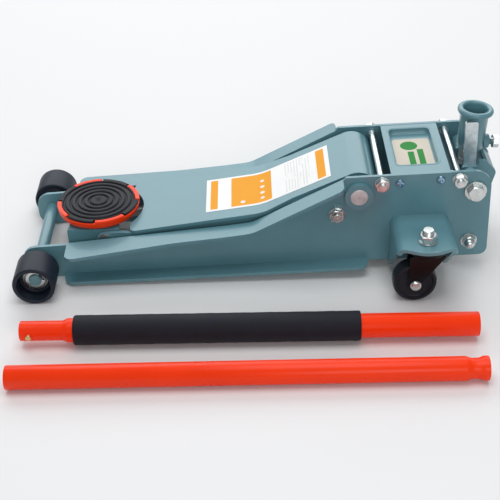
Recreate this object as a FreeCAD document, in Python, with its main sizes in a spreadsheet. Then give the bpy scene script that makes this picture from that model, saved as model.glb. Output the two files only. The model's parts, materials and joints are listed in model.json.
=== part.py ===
"""Low-profile hydraulic floor jack with its two-piece handle, as a parametric FreeCAD document.

Two frames are used. The chassis frame has its X axis running rearward from the front wheel axle,
its origin on that axle and its centre plane at Y = 0. It leans nose-down by a small angle, because
the casters carry the rear of the side plates a little higher than the front wheels carry the nose.
The floor frame has the same X and Y start, but stands level with Z = 0 on the floor.
"""
import FreeCAD, Part
import math
import os
import re

V = FreeCAD.Vector

SIZES = [
    ("origin_x", 319.313, "distance from the front axle back to the centre of the whole set"),
    ("origin_y", -81.82, "sideways distance from the centre plane to the centre of the whole set"),
    ("tilt_angle", 1.7, "nose-down lean of the chassis, degrees"),
    ("wheel_r", 30.2, "front wheel radius"),
    ("wheel_in", 88.4, "inner face of a front wheel, from the centre plane"),
    ("wheel_out", 137.8, "outer face of a front wheel"),
    ("recess_r", 24.0, "radius of the outer recess of a front wheel"),
    ("recess_floor", 116.0, "floor of the outer recess"),
    ("axle_r", 9.0, "front axle radius"),
    ("axle_end", 122.0, "front axle end"),
    ("running_gap", 0.05, "radial clearance of a running fit"),
    ("web_out", 75.0, "outer face of a side plate"),
    ("web_in", 70.0, "inner face of a side plate"),
    ("plate_t", 5.0, "plate thickness"),
    ("web_low", -28.2, "lower edge of the side plates"),
    ("web_top", 113.3, "upper edge of the side plates at the rear"),
    ("web_rear", 650.0, "rear edge of the side plates"),
    ("flange_low_out", 98.8, "outer edge of the lower flange"),
    ("flange_top_out", 113.0, "outer edge of the upper flange at its front end"),
    ("pivot_x", 464.5, "main pivot of the lift arm, along the chassis"),
    ("pivot_z", 85.0, "main pivot of the lift arm, height"),
    ("pivot_r", 12.5, "main pivot shaft radius"),
    ("pivot_end", 84.0, "main pivot shaft end"),
    ("boss_r", 20.0, "boss around the main pivot"),
    ("boss_out", 82.5, "outer face of that boss"),
    ("sleeve_r", 18.0, "outer radius of the lift arm's pivot sleeve"),
    ("hub_r", 23.7, "lift arm hub radius under the top plate"),
    ("tie_front_x", 497.2, "front tie rod, along the chassis"),
    ("tie_rear_x", 605.2, "rear tie rod, along the chassis"),
    ("tie_z", 101.8, "tie rod height"),
    ("tie_r", 4.5, "tie rod radius"),
    ("thread_r", 5.0, "threaded end radius of the tie rods"),
    ("yoke_x", 628.0, "handle yoke pivot, along the chassis"),
    ("yoke_z", 82.0, "handle yoke pivot height"),
    ("yoke_bolt_r", 8.0, "handle yoke pivot bolt radius"),
    ("anchor_x", 433.0, "levelling rod anchor, along the chassis"),
    ("anchor_z", 55.0, "levelling rod anchor height"),
    ("link_r", 6.0, "levelling rod pin radius"),
    ("head_x", 97.0, "saddle bracket pin, along the chassis"),
    ("head_z", 22.0, "saddle bracket pin height"),
    ("head_r", 8.0, "saddle bracket pin radius"),
    ("cross_x", 623.0, "lower rear cross bolt, along the chassis"),
    ("cross_z", -2.0, "lower rear cross bolt height"),
    ("cross_r", 6.0, "lower rear cross bolt radius"),
    ("cheek_in", 56.0, "inner face of a lift arm cheek"),
    ("cheek_out", 62.0, "outer face of a lift arm cheek"),
    ("arm_front", 135.0, "front edge of the lift arm's top plate"),
    ("arm_half", 66.0, "half width of the wide part of the top plate"),
    ("arm_rear_half", 60.0, "half width of the rear part of the top plate"),
    ("notch_r", 66.0, "notch around the saddle"),
    ("wall_in", 47.0, "inner face of a saddle bracket wall"),
    ("wall_out", 54.0, "outer face of a saddle bracket wall"),
    ("rod_in", 36.0, "inner face of a levelling rod"),
    ("rod_out", 46.0, "outer face of a levelling rod"),
    ("saddle_x", 84.0, "saddle centre, from the axle"),
    ("saddle_r", 60.5, "saddle dish radius"),
    ("saddle_low", 70.0, "underside of the saddle dish above the floor"),
    ("saddle_top", 86.2, "top of the rubber pad above the floor"),
    ("pad_r", 56.5, "rubber pad radius"),
    ("lever_in", 16.0, "inner face of a ram lever plate"),
    ("lever_out", 26.0, "outer face of a ram lever plate"),
    ("lever_reach", 60.0, "ram lever length, pivot to pin"),
    ("lever_angle", 35.0, "ram lever angle behind straight down, degrees"),
    ("lever_pin_r", 8.0, "ram lever pin radius"),
    ("ram_z", 30.5, "ram axis height"),
    ("ram_r", 14.0, "ram radius"),
    ("cylinder_r", 23.5, "ram cylinder radius"),
    ("cylinder_front", 514.0, "front face of the ram cylinder"),
    ("cylinder_rear", 600.0, "rear face of the ram cylinder"),
    ("block_front", 535.0, "front face of the pump block"),
    ("block_rear", 596.0, "rear face of the pump block"),
    ("block_half", 29.0, "half width of the pump block"),
    ("plunger_y", 14.0, "pump plunger distance from the centre plane"),
    ("plunger_z", 57.0, "pump plunger height"),
    ("plunger_r", 6.0, "pump plunger radius"),
    ("roller_x", 643.0, "pump roller centre, along the chassis"),
    ("roller_z", 56.0, "pump roller centre height"),
    ("roller_r", 8.0, "pump roller radius"),
    ("cover_front", 510.0, "front edge of the unit cover"),
    ("cover_rear", 593.0, "rear edge of the unit cover"),
    ("cover_half", 69.6, "half width of the unit cover"),
    ("sheet_t", 2.0, "thickness of the cover sheet"),
    ("socket_lean", 5.6, "rearward lean of the handle socket, degrees"),
    ("socket_r", 19.5, "handle socket outer radius"),
    ("socket_bore", 17.0, "handle socket bore radius"),
    ("socket_low", 30.0, "handle socket lower end, above the yoke pivot"),
    ("socket_top", 91.4, "handle socket mouth, above the yoke pivot"),
    ("rim_r", 25.5, "radius of the rim of the socket"),
    ("screw_s", 38.0, "clamp screw height above the yoke pivot"),
    ("screw_r", 5.0, "clamp screw radius"),
    ("bar_in", 18.5, "inner face of a yoke bar"),
    ("bar_out", 24.5, "outer face of a yoke bar"),
    ("yoke_out", 30.5, "outer face of a yoke cheek"),
    ("bracket_top", 93.5, "top of the caster brackets above the floor"),
    ("bracket_t", 5.0, "caster bracket plate thickness"),
    ("stem_x", 551.0, "caster swivel axis, from the axle"),
    ("stem_y", 144.0, "caster swivel axis, from the centre plane"),
    ("stem_r", 8.0, "caster stem radius"),
    ("trail", 15.0, "caster wheel axle ahead of the swivel axis"),
    ("caster_r", 31.0, "caster wheel radius"),
    ("caster_half", 11.5, "half width of a caster wheel"),
    ("caster_axle_r", 5.0, "caster wheel axle radius"),
    ("handle_r", 16.5, "upper handle tube radius"),
    ("handle_bore", 14.2, "handle tube inner radius"),
    ("handle_long", 617.0, "upper handle length"),
    ("neck_r", 13.5, "radius of the upper handle's plug end"),
    ("neck_long", 58.0, "length of the upper handle's plug end"),
    ("grip_r", 20.5, "foam sleeve radius"),
    ("grip_start", 73.0, "start of the foam sleeve"),
    ("grip_end", 459.0, "end of the foam sleeve"),
    ("upper_x", -6.0, "plug end of the upper handle, from the axle"),
    ("upper_y", -223.0, "plug end of the upper handle, from the centre plane"),
    ("upper_yaw", -1.1, "heading of the upper handle, degrees"),
    ("lower_r", 16.0, "lower handle tube radius"),
    ("lower_long", 621.0, "lower handle length"),
    ("lower_x", -12.0, "plain end of the lower handle, from the axle"),
    ("lower_y", -312.0, "plain end of the lower handle, from the centre plane"),
    ("lower_yaw", -0.7, "heading of the lower handle, degrees"),
]

doc = FreeCAD.newDocument("floor_jack")
sheet = doc.addObject("Spreadsheet::Sheet", "sizes")
for row, (alias, value, note) in enumerate(SIZES, 1):
    sheet.set("A%d" % row, note)
    sheet.set("B%d" % row, str(value))
    sheet.setAlias("B%d" % row, alias)
doc.recompute()

NAMES = {alias for alias, value, note in SIZES}
bodies = []
cuts = []


def size(alias):
    """Value of one spreadsheet cell."""
    return float(sheet.get(alias))


def formula(text):
    """Turn a text such as 'web_out - plate_t' into an expression on the spreadsheet's cells."""
    return re.sub(r"[a-z_]+", lambda m: "sizes." + m.group(0) if m.group(0) in NAMES else m.group(0), str(text))


def chassis_frame():
    """Placement of every piece drawn in the chassis frame."""
    turn = FreeCAD.Rotation(V(0, 1, 0), -size("tilt_angle"))
    return FreeCAD.Placement(V(-size("origin_x"), -size("origin_y"), size("wheel_r")), turn)


def floor_frame():
    """Placement of every piece drawn in the floor frame."""
    return FreeCAD.Placement(V(-size("origin_x"), -size("origin_y"), 0), FreeCAD.Rotation())


def corner(before, point, after):
    """Arc that rounds one corner of an outline, as (start, middle, end), or None at a sharp corner."""
    here = V(point[0], point[1], 0)
    radius = point[2] if len(point) > 2 else 0
    if radius <= 0:
        return None
    back = (V(before[0], before[1], 0) - here).normalize()
    ahead = (V(after[0], after[1], 0) - here).normalize()
    half = math.acos(max(-1.0, min(1.0, back.dot(ahead)))) / 2
    reach = radius / math.tan(half)
    bisector = (back + ahead).normalize()
    centre = here + bisector * (radius / math.sin(half))
    return here + back * reach, centre - bisector * radius, here + ahead * reach


def outline(points):
    """Closed outline through (u, v, corner radius) points."""
    count = len(points)
    corners = [corner(points[i - 1], points[i], points[(i + 1) % count]) for i in range(count)]
    curves = []
    for i in range(count):
        here = corners[i]
        following = corners[(i + 1) % count]
        if here:
            curves.append(Part.Arc(*here))
        start = here[2] if here else V(points[i][0], points[i][1], 0)
        target = points[(i + 1) % count]
        end = following[0] if following else V(target[0], target[1], 0)
        if (end - start).Length > 1e-6:
            curves.append(Part.LineSegment(start, end))
    return curves


def ring(u, v, radius):
    """Circle as an outline."""
    return [Part.Circle(V(u, v, 0), V(0, 0, 1), radius)]


def hexagon(u, v, flats, turn=0.0):
    """Hexagon across flats as an outline."""
    reach = flats / math.sqrt(3)
    angles = [math.radians(turn + 60 * i) for i in range(6)]
    return outline([(u + reach * math.cos(a), v + reach * math.sin(a), 0) for a in angles])


def parallel(path, distance):
    """Open path moved sideways to its left by a distance, its corner radii kept concentric."""
    moved = []
    for i, point in enumerate(path):
        radius = point[2] if len(point) > 2 else 0
        before = path[max(i - 1, 0)]
        after = path[min(i + 1, len(path) - 1)]
        if i == 0:
            before = (2 * point[0] - after[0], 2 * point[1] - after[1])
        if i == len(path) - 1:
            after = (2 * point[0] - before[0], 2 * point[1] - before[1])
        one = V(point[0] - before[0], point[1] - before[1], 0).normalize()
        two = V(after[0] - point[0], after[1] - point[1], 0).normalize()
        left_one = V(-one.y, one.x, 0)
        left_two = V(-two.y, two.x, 0)
        mitre = (left_one + left_two).normalize()
        shift = distance / mitre.dot(left_one)
        turn = one.x * two.y - one.y * two.x
        if radius:
            radius = radius - distance if turn > 0 else radius + distance
        moved.append((point[0] + mitre.x * shift, point[1] + mitre.y * shift, max(radius, 0)))
    return moved


def strip(path, thickness):
    """Outline of a bent plate whose left face follows the path."""
    return outline(list(path) + parallel(path, -thickness)[::-1])


def origin_plane(body, role):
    """One of the body's own origin planes."""
    return next(item for item in body.Origin.OriginFeatures if item.Role == role)


def new_body(label, placement):
    """Empty body with its own label, standing in one of the two frames."""
    body = doc.addObject("PartDesign::Body", label)
    body.Label = label
    body.AllowCompound = True
    body.Placement = placement
    bodies.append(body)
    return body


def new_sketch(body, role, loops, height):
    """Sketch on one of the body's origin planes, lifted by a formula along the plane's normal."""
    sketch = body.newObject("Sketcher::SketchObject", body.Label + "_sketch")
    sketch.AttachmentSupport = [(origin_plane(body, role), "")]
    sketch.MapMode = "FlatFace"
    for loop in loops:
        sketch.addGeometry(loop, False)
    sketch.setExpression("AttachmentOffset.Base.z", formula(height))
    return sketch


def pad(body, role, loops, low, high):
    """Add the outlines as a solid between two heights along the plane's axis."""
    start = "0 - (%s)" % high if role == "XZ_Plane" else low
    feature = body.newObject("PartDesign::Pad", body.Label + "_pad")
    feature.Profile = new_sketch(body, role, loops, start)
    feature.setExpression("Length", formula("(%s) - (%s)" % (high, low)))
    body.Tip = feature
    return feature


def pocket(body, role, loops, low, high):
    """Cut the outlines away between two heights along the plane's axis."""
    start = "0 - (%s)" % low if role == "XZ_Plane" else high
    feature = body.newObject("PartDesign::Pocket", body.Label + "_pocket")
    feature.Profile = new_sketch(body, role, loops, start)
    feature.setExpression("Length", formula("(%s) - (%s)" % (high, low)))
    body.Tip = feature
    cuts.append(feature)
    return feature


def pad_both(body, loops, low, high):
    """Add the outlines on both sides of the centre plane."""
    pad(body, "XZ_Plane", loops, low, high)
    pad(body, "XZ_Plane", loops, "0 - (%s)" % high, "0 - (%s)" % low)


def revolve(body, role, points, axis):
    """Add an outline turned once round a sketch axis."""
    feature = body.newObject("PartDesign::Revolution", body.Label + "_turn")
    feature.Profile = new_sketch(body, role, [outline(points)], "0")
    feature.ReferenceAxis = (feature.Profile[0], [axis])
    feature.Angle = 360
    body.Tip = feature
    return feature


def soften(body, radius, chosen):
    """Round the edges of the body's last feature that the test picks."""
    doc.recompute()
    base = body.Tip
    names = ["Edge%d" % (i + 1) for i, edge in enumerate(base.Shape.Edges) if chosen(edge)]
    feature = body.newObject("PartDesign::Fillet", body.Label + "_fillet")
    feature.Base = (base, names)
    feature.Radius = radius
    body.Tip = feature
    return feature


def span(side, low, high):
    """Y range of a piece on one side, -1 for the left and 1 for the right."""
    if side > 0:
        return low, high
    return "0 - (%s)" % high, "0 - (%s)" % low


CHASSIS = chassis_frame()
FLOOR = floor_frame()
SIDES = {"left": -1, "right": 1}
px = size("pivot_x")
pz = size("pivot_z")
hx = size("head_x")
hz = size("head_z")
ax = size("anchor_x")
az = size("anchor_z")
bx = hx + ax - px
bz = hz + az - pz
yx = size("yoke_x")
yz = size("yoke_z")
t = size("plate_t")
gap = size("running_gap")
cover_screws = [(522, 100), (579, 102.5)]

# --- chassis -------------------------------------------------------------------------------------

flange_line = [(43, 26.2), (274, 42, 60), (312, 45.5, 50), (443, 108.5)]


def side_plate(name, side):
    """Pressed side plate: flat web, outward flanges above and below, and a boss at the pivot."""
    body = new_body(name, CHASSIS)
    low = size("web_low")
    rear = size("web_rear")
    top = size("web_top")
    edge = [(-23, low, 18), (-23, 24.5, 21), (43, 26.2), (274, 42, 60), (312, 45.5, 50), (443, 108.5, 6),
            (447, top, 2), (rear, top, 25), (rear, low, 12)]
    pad(body, "XZ_Plane", [outline(edge)], *span(side, "web_in", "web_out"))
    pad(body, "XZ_Plane", [strip(flange_line, t)], *span(side, "web_out - 2", "flange_top_out"))
    trim = [(38, 130), (38, 98), (43, 98), (43, size("flange_top_out"), 12), (200, 100.5, 80), (443, 98.5, 8),
            (443, 92), (455, 92), (455, 130)]
    trim = [(point[0], point[1] * side) + tuple(point[2:]) for point in trim]
    pocket(body, "XY_Plane", [outline(trim)], "0", "web_top + 10")
    out = size("flange_low_out") * side
    foot = [(35, 73 * side), (35, out, 14), (477, out, 14), (477, 73 * side)]
    pad(body, "XY_Plane", [outline(foot)], "web_low", "web_low + plate_t")
    pad(body, "XZ_Plane", [ring(px, pz, size("boss_r"))], *span(side, "web_out - 2", "boss_out"))
    holes = [(px, pz, size("pivot_r")), (0, 0, size("axle_r"))]
    holes += [(size("tie_front_x"), size("tie_z"), size("thread_r")), (size("tie_rear_x"), size("tie_z"), size("thread_r"))]
    holes += [(yx, yz, size("yoke_bolt_r")), (ax, az, size("link_r")), (size("cross_x"), size("cross_z"), size("cross_r"))]
    holes += [(u, v, 3) for u, v in cover_screws]
    pocket(body, "XZ_Plane", [ring(*hole) for hole in holes], *span(side, "web_in - 1", "boss_out + 1"))


for name, side in SIDES.items():
    side_plate("side_plate_" + name, side)

axle = new_body("front_axle", CHASSIS)
pad(axle, "XZ_Plane", [ring(0, 0, size("axle_r"))], "0 - axle_end", "axle_end")
soften(axle, 1.0, lambda edge: True if edge.Curve.TypeId == "Part::GeomCircle" else False)

washers = new_body("axle_washers", CHASSIS)
pad_both(washers, [ring(0, 0, 16), ring(0, 0, size("axle_r"))], "web_out", "wheel_in - 0.4")
pad_both(washers, [ring(0, 0, 17.5), ring(0, 0, size("axle_r"))], "recess_floor + 0.3", "recess_floor + 2.3")

shaft = new_body("pivot_shaft", CHASSIS)
pad(shaft, "XZ_Plane", [ring(px, pz, size("pivot_r"))], "0 - pivot_end", "pivot_end")
slot = outline([(px - 14, pz - 2), (px - 14, pz + 2), (px + 14, pz + 2), (px + 14, pz - 2)])
pocket(shaft, "XZ_Plane", [slot], "0 - pivot_end", "0 - pivot_end + 1.5")
pocket(shaft, "XZ_Plane", [slot], "pivot_end - 1.5", "pivot_end")

for name, where in (("front_tie_rod", "tie_front_x"), ("rear_tie_rod", "tie_rear_x")):
    rod = new_body(name, CHASSIS)
    pad(rod, "XZ_Plane", [ring(size(where), size("tie_z"), size("tie_r"))], "0 - web_in", "web_in")
    pad_both(rod, [ring(size(where), size("tie_z"), size("thread_r"))], "web_in - 1", "web_out + 14")
    pad_both(rod, [ring(size(where), size("tie_z"), size("tie_r") + 2.5)], "web_in - 4.5", "web_in")

nuts = new_body("tie_rod_nuts", CHASSIS)
for where, turn in (("tie_front_x", 10), ("tie_rear_x", 40)):
    hole = ring(size(where), size("tie_z"), size("thread_r"))
    pad_both(nuts, [ring(size(where), size("tie_z"), 10.5), hole], "web_out", "web_out + 2")
    pad_both(nuts, [hexagon(size(where), size("tie_z"), 17, turn), hole], "web_out + 2", "web_out + 11")

bolts = new_body("yoke_bolts", CHASSIS)
pad_both(bolts, [ring(yx, yz, size("yoke_bolt_r"))], "bar_in + 0.5", "web_out + 1")
pad_both(bolts, [ring(yx, yz, 15.5)], "web_out", "web_out + 3")
pad_both(bolts, [hexagon(yx, yz, 22, 20)], "web_out + 3", "web_out + 12")

anchors = new_body("link_anchors", CHASSIS)
pad_both(anchors, [ring(ax, az, size("link_r"))], "rod_in - 2", "web_out + 1")
pad_both(anchors, [ring(ax, az, 8)], "rod_out + 0.4", "web_in")
pad_both(anchors, [hexagon(ax, az, 19, 15)], "web_out", "web_out + 9")

cross = new_body("rear_cross_bolt", CHASSIS)
pad(cross, "XZ_Plane", [ring(size("cross_x"), size("cross_z"), size("cross_r"))], "0 - web_out - 8", "web_out + 8")

domes = new_body("rear_dome_nuts", CHASSIS)
hole = ring(size("cross_x"), size("cross_z"), size("cross_r"))
pad_both(domes, [ring(size("cross_x"), size("cross_z"), 12), hole], "web_out", "web_out + 2")
pad_both(domes, [hexagon(size("cross_x"), size("cross_z"), 18, 0), hole], "web_out + 2", "web_out + 8")
pad_both(domes, [ring(size("cross_x"), size("cross_z"), 8)], "web_out + 8", "web_out + 14")
soften(domes, 4.5, lambda edge: abs(abs(edge.CenterOfMass.y) - size("web_out") - 14) < 0.01 and
       edge.Curve.TypeId == "Part::GeomCircle")

cover = new_body("unit_cover", CHASSIS)
half = size("cover_half")
front = size("cover_front")
rear = size("cover_rear")
pad(cover, "XY_Plane", [outline([(front, -half), (front, half), (rear, half), (rear, -half)])],
    "web_top - 2.3", "web_top - 2.3 + sheet_t")
tray = [(518, -49, 10), (518, 59, 10), (582, 59, 10), (582, -49, 10)]
tray_inside = [(520, -47, 8), (520, 57, 8), (580, 57, 8), (580, -47, 8)]
pocket(cover, "XY_Plane", [outline(tray_inside)], "web_top - 3", "web_top + 1")
pad(cover, "XY_Plane", [outline(tray), outline(tray_inside)], "web_top - 8.3", "web_top - 2.3")
pad(cover, "XY_Plane", [outline(tray)], "web_top - 10.3", "web_top - 8.3")
skirt = outline([(front, 92, 6), (front, 111.5), (rear, 111.5), (rear, 92, 6)])
pad_both(cover, [skirt] + [ring(u, v, 3) for u, v in cover_screws], "cover_half - sheet_t", "cover_half")

screws = new_body("cover_screws", CHASSIS)
for u, v in cover_screws:
    pad_both(screws, [ring(u, v, 3)], "cover_half - 6", "web_out + 1")
    pad_both(screws, [ring(u, v, 6)], "web_out", "web_out + 3.5")

badge = new_body("cover_label", CHASSIS)
pad(badge, "XY_Plane", [outline([(523, -43, 6), (523, 39, 6), (577, 39, 6), (577, -43, 6)])],
    "web_top - 8.3", "web_top - 8.0")

# Hydraulic unit, hidden between the side plates.
block = new_body("pump_block", CHASSIS)
wide = size("block_half")
pad(block, "XY_Plane", [outline([(size("block_front"), -wide, 3), (size("block_front"), wide, 3),
                                 (size("block_rear"), wide, 3), (size("block_rear"), -wide, 3)])], "0 - 2", "68")
pad_both(block, [ring(560, 56, 10)], "block_half - 1", "web_in")
pocket(block, "YZ_Plane", [ring(0, size("ram_z"), size("cylinder_r"))], "block_front - 1", "block_rear + 1")
bores = [ring(s * size("plunger_y"), size("plunger_z"), size("plunger_r") + gap) for s in (-1, 1)]
pocket(block, "YZ_Plane", bores, "block_front - 1", "block_rear + 1")

cylinder = new_body("ram_cylinder", CHASSIS)
pad(cylinder, "YZ_Plane", [ring(0, size("ram_z"), size("cylinder_r"))], "cylinder_front", "cylinder_rear")
pocket(cylinder, "YZ_Plane", [ring(0, size("ram_z"), size("ram_r") + gap)], "cylinder_front - 1", "cylinder_rear - 5")

plug = new_body("filler_plug", CHASSIS)
pad(plug, "XY_Plane", [ring(550, 0, 7)], "68", "72")
pad(plug, "XY_Plane", [hexagon(550, 0, 10, 0)], "72", "77")

springs = new_body("return_springs", CHASSIS)
qa = math.radians(size("lever_angle"))
qx = px + size("lever_reach") * math.sin(qa)
qz = pz - size("lever_reach") * math.cos(qa)
run = V(size("cross_x") - qx, size("cross_z") - qz, 0)
along = V(run.x, run.y, 0).normalize()
across = V(-along.y, along.x, 0)
a = V(qx, qz, 0) + along * 9
b = V(size("cross_x"), size("cross_z"), 0) - along * 7
half_coil = 6
coil = [a + across * half_coil, a - across * half_coil, b - across * half_coil, b + across * half_coil]
pad_both(springs, [outline([(p.x, p.y) for p in coil])], "32", "44")

# --- caster brackets -----------------------------------------------------------------------------


def caster_bracket(name, side):
    """Bent sheet, a top with a rounded outer edge and two folded gussets, welded on the side plate."""
    body = new_body(name, FLOOR)
    sx = size("stem_x")
    top = size("bracket_top")
    fold = [(508, 14), (508, top, 13), (592, top, 13), (592, 14)]
    pad(body, "XZ_Plane", [strip(fold, size("bracket_t"))], *span(side, "75", "178"))
    plan = [(495, 70), (508, 158, 12), (sx, 175.64, 46), (592, 159, 12), (600, 70)]
    around = [(480, 60), (480, 190), (620, 190), (620, 60)]
    pocket(body, "XY_Plane", [outline([(p[0], p[1] * side) + tuple(p[2:]) for p in loop]) for loop in (around, plan)],
           "0", "bracket_top + 1")
    below = [(84, 5), (84, 14, 4), (150, 81, 10), (185, 83), (185, 5)]
    pocket(body, "YZ_Plane", [outline([(p[0] * side, p[1]) + tuple(p[2:]) for p in below])], "500", "600")
    pocket(body, "XY_Plane", [ring(sx, size("stem_y") * side, size("stem_r") + gap)], "80", "bracket_top + 1")


for name, side in SIDES.items():
    caster_bracket("caster_bracket_" + name, side)


def caster(name, side):
    """Swivel fork with its stem nut, wheel axle and wheel."""
    sx = size("stem_x")
    sy = size("stem_y") * side
    wx = sx - size("trail")
    wz = size("caster_r")
    leg_in = size("caster_half") + 1
    leg_out = leg_in + 3
    fork = new_body("caster_fork_" + name, FLOOR)
    pad(fork, "XY_Plane", [ring(sx, sy, 27)], "bracket_top - bracket_t - 6.5", "bracket_top - bracket_t - 0.5")
    pad(fork, "XY_Plane", [ring(sx, sy, 22)], "bracket_top - bracket_t - 12", "bracket_top - bracket_t - 6.5")
    leg = outline([(wx - 11, wz - 10, 10), (sx - 20, 80), (sx + 20, 80), (sx + 18, 66, 10), (wx + 11, wz - 10, 10)])
    for low, high in ((leg_in, leg_out), (-leg_out, -leg_in)):
        pad(fork, "XZ_Plane", [leg], "%.3f" % (sy + low), "%.3f" % (sy + high))
    pocket(fork, "XZ_Plane", [ring(wx, wz, size("caster_axle_r"))], "%.3f" % (sy - 20), "%.3f" % (sy + 20))
    pocket(fork, "XY_Plane", [ring(sx, sy, size("stem_r"))], "70", "bracket_top")
    stem = new_body("caster_stem_" + name, FLOOR)
    pad(stem, "XY_Plane", [ring(sx, sy, size("stem_r"))], "77", "bracket_top + 20")
    pad(stem, "XY_Plane", [hexagon(sx, sy, 22, 15)], "bracket_top + 2.5", "bracket_top + 13")
    pad(stem, "XY_Plane", [ring(sx, sy, 13)], "bracket_top + 0.4", "bracket_top + 2.5")
    pin = new_body("caster_axle_" + name, FLOOR)
    pad(pin, "XZ_Plane", [ring(wx, wz, size("caster_axle_r"))], "%.3f" % (sy - leg_out - 5), "%.3f" % (sy + leg_out + 5))
    for low, high in ((leg_out, leg_out + 4), (-leg_out - 4, -leg_out)):
        pad(pin, "XZ_Plane", [hexagon(wx, wz, 13, 5)], "%.3f" % (sy + low), "%.3f" % (sy + high))
    place = FreeCAD.Placement(FLOOR.Base + V(wx, sy, wz), FreeCAD.Rotation())
    wheel = new_body("caster_wheel_" + name, place)
    half_width = size("caster_half")
    radius = size("caster_r")
    bore = size("caster_axle_r") + gap
    revolve(wheel, "YZ_Plane", [(-half_width, bore), (-half_width, 11), (-half_width + 2.5, 13, 2),
                                (-half_width + 2.5, radius - 7, 2), (-half_width, radius - 5),
                                (-half_width, radius, 4), (half_width, radius, 4), (half_width, radius - 5),
                                (half_width - 2.5, radius - 7, 2), (half_width - 2.5, 13, 2), (half_width, 11),
                                (half_width, bore)], "H_Axis")


for name, side in SIDES.items():
    caster(name, side)


def front_wheel(name, side):
    """Solid roller with a deep recess in its outer face."""
    place = FreeCAD.Placement(CHASSIS.Base, FreeCAD.Rotation())
    wheel = new_body("front_wheel_" + name, place)
    inner = size("wheel_in")
    outer = size("wheel_out")
    floor = size("recess_floor")
    bore = size("axle_r") + gap
    radius = size("wheel_r")
    recess = size("recess_r")
    shape = [(inner, bore), (inner, 20), (inner + 3, 22, 1), (inner + 3, 26), (inner, 27, 1), (inner, radius, 2.5),
             (outer, radius, 2.5), (outer, recess, 1), (floor, recess - 1.5, 4), (floor, bore)]
    revolve(wheel, "YZ_Plane", [(p[0] * side,) + tuple(p[1:]) for p in shape], "H_Axis")


for name, side in SIDES.items():
    front_wheel(name, side)

# --- lift arm ------------------------------------------------------------------------------------

slope = (126.6 - 57.6) / (px + 28.7 - 327)
arm_line = [(size("arm_front"), 37.8), (327, 57.6, 90), (px + 28.7, 126.6, 28.7), (px + 28.7, 87)]

top = new_body("arm_top_plate", CHASSIS)
pad(top, "XZ_Plane", [strip(arm_line, t)], "0 - arm_half", "arm_half")
wide = size("arm_half")
narrow = size("arm_rear_half")
for side in (-1, 1):
    waist = [(334, wide * side, 30), (372, narrow * side, 30), (520, narrow * side), (520, 80 * side), (300, 80 * side),
             (300, wide * side)]
    pocket(top, "XY_Plane", [outline(waist)], "20", "120")
    nose = [(130, (wide - 12) * side), (size("arm_front"), (wide - 12) * side), (size("arm_front"), wide * side, 10),
            (size("arm_front") + 12, wide * side), (size("arm_front") + 12, 80 * side), (130, 80 * side)]
    pocket(top, "XY_Plane", [outline(nose)], "20", "60")
pocket(top, "XY_Plane", [ring(size("saddle_x") + 1.6, 0, size("notch_r"))], "20", "60")

under = parallel(arm_line, -t - 0.3)
for name, side in SIDES.items():
    cheek = new_body("arm_cheek_" + name, CHASSIS)
    hub = size("hub_r") - 0.3
    shape = [(hx - 12, hz - 12, 12), (hx - 12, hz + 12, 12), (122, hz + 12, 4), (under[0][0], under[0][1]), under[1],
             (px + hub, under[2][1], hub), (px + hub, pz - hub, hub), (425, 66.5, 15), (318, 29, 60), (130, hz - 12, 40)]
    pad(cheek, "XZ_Plane", [outline(shape)], *span(side, "cheek_in", "cheek_out"))
    pocket(cheek, "XZ_Plane", [ring(px, pz, size("sleeve_r")), ring(hx, hz, size("head_r"))],
           *span(side, "cheek_in - 1", "cheek_out + 1"))

sleeve = new_body("pivot_sleeve", CHASSIS)
pad(sleeve, "XZ_Plane", [ring(px, pz, size("sleeve_r")), ring(px, pz, size("pivot_r") + gap)],
    "0 - cheek_out - 3", "cheek_out + 3")

levers = new_body("ram_levers", CHASSIS)
bar = [V(px, pz, 0) + V(-15 * math.cos(qa), -15 * math.sin(qa), 0), V(px, pz, 0) + V(15 * math.cos(qa), 15 * math.sin(qa), 0),
       V(qx, qz, 0) + V(12 * math.cos(qa), 12 * math.sin(qa), 0), V(qx, qz, 0) + V(-12 * math.cos(qa), -12 * math.sin(qa), 0)]
pad_both(levers, [ring(px, pz, size("hub_r") - 1.6)], "lever_in", "lever_out")
pad_both(levers, [outline([(p.x, p.y) for p in bar])], "lever_in", "lever_out")
pad_both(levers, [ring(qx, qz, 13)], "lever_in", "lever_out")
pocket(levers, "XZ_Plane", [ring(px, pz, size("sleeve_r")), ring(qx, qz, size("lever_pin_r"))],
       "0 - lever_out - 1", "lever_out + 1")

pin = new_body("lever_pin", CHASSIS)
pad(pin, "XZ_Plane", [ring(qx, qz, size("lever_pin_r"))], "0 - 44", "44")

brace = new_body("arm_brace", CHASSIS)
pad(brace, "XY_Plane", [outline([(244, -56), (244, 56), (250, 56), (250, -56)])], "34", "43.8")

pins = new_body("head_pins", CHASSIS)
pad_both(pins, [ring(hx, hz, size("head_r"))], "wall_in - 2", "cheek_out + 1")
pad_both(pins, [ring(hx, hz, 11)], "cheek_out", "cheek_out + 4")

label = new_body("arm_label", CHASSIS)
label_line = parallel([(246, 57.6 - 81 * (19.8 / 192)), (327, 57.6, 90), (428, 57.6 + 101 * slope)], 0.4)
pad(label, "XZ_Plane", [strip(label_line, 0.4)], "0 - 44", "44")

# --- levelling rods and saddle -------------------------------------------------------------------

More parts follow.
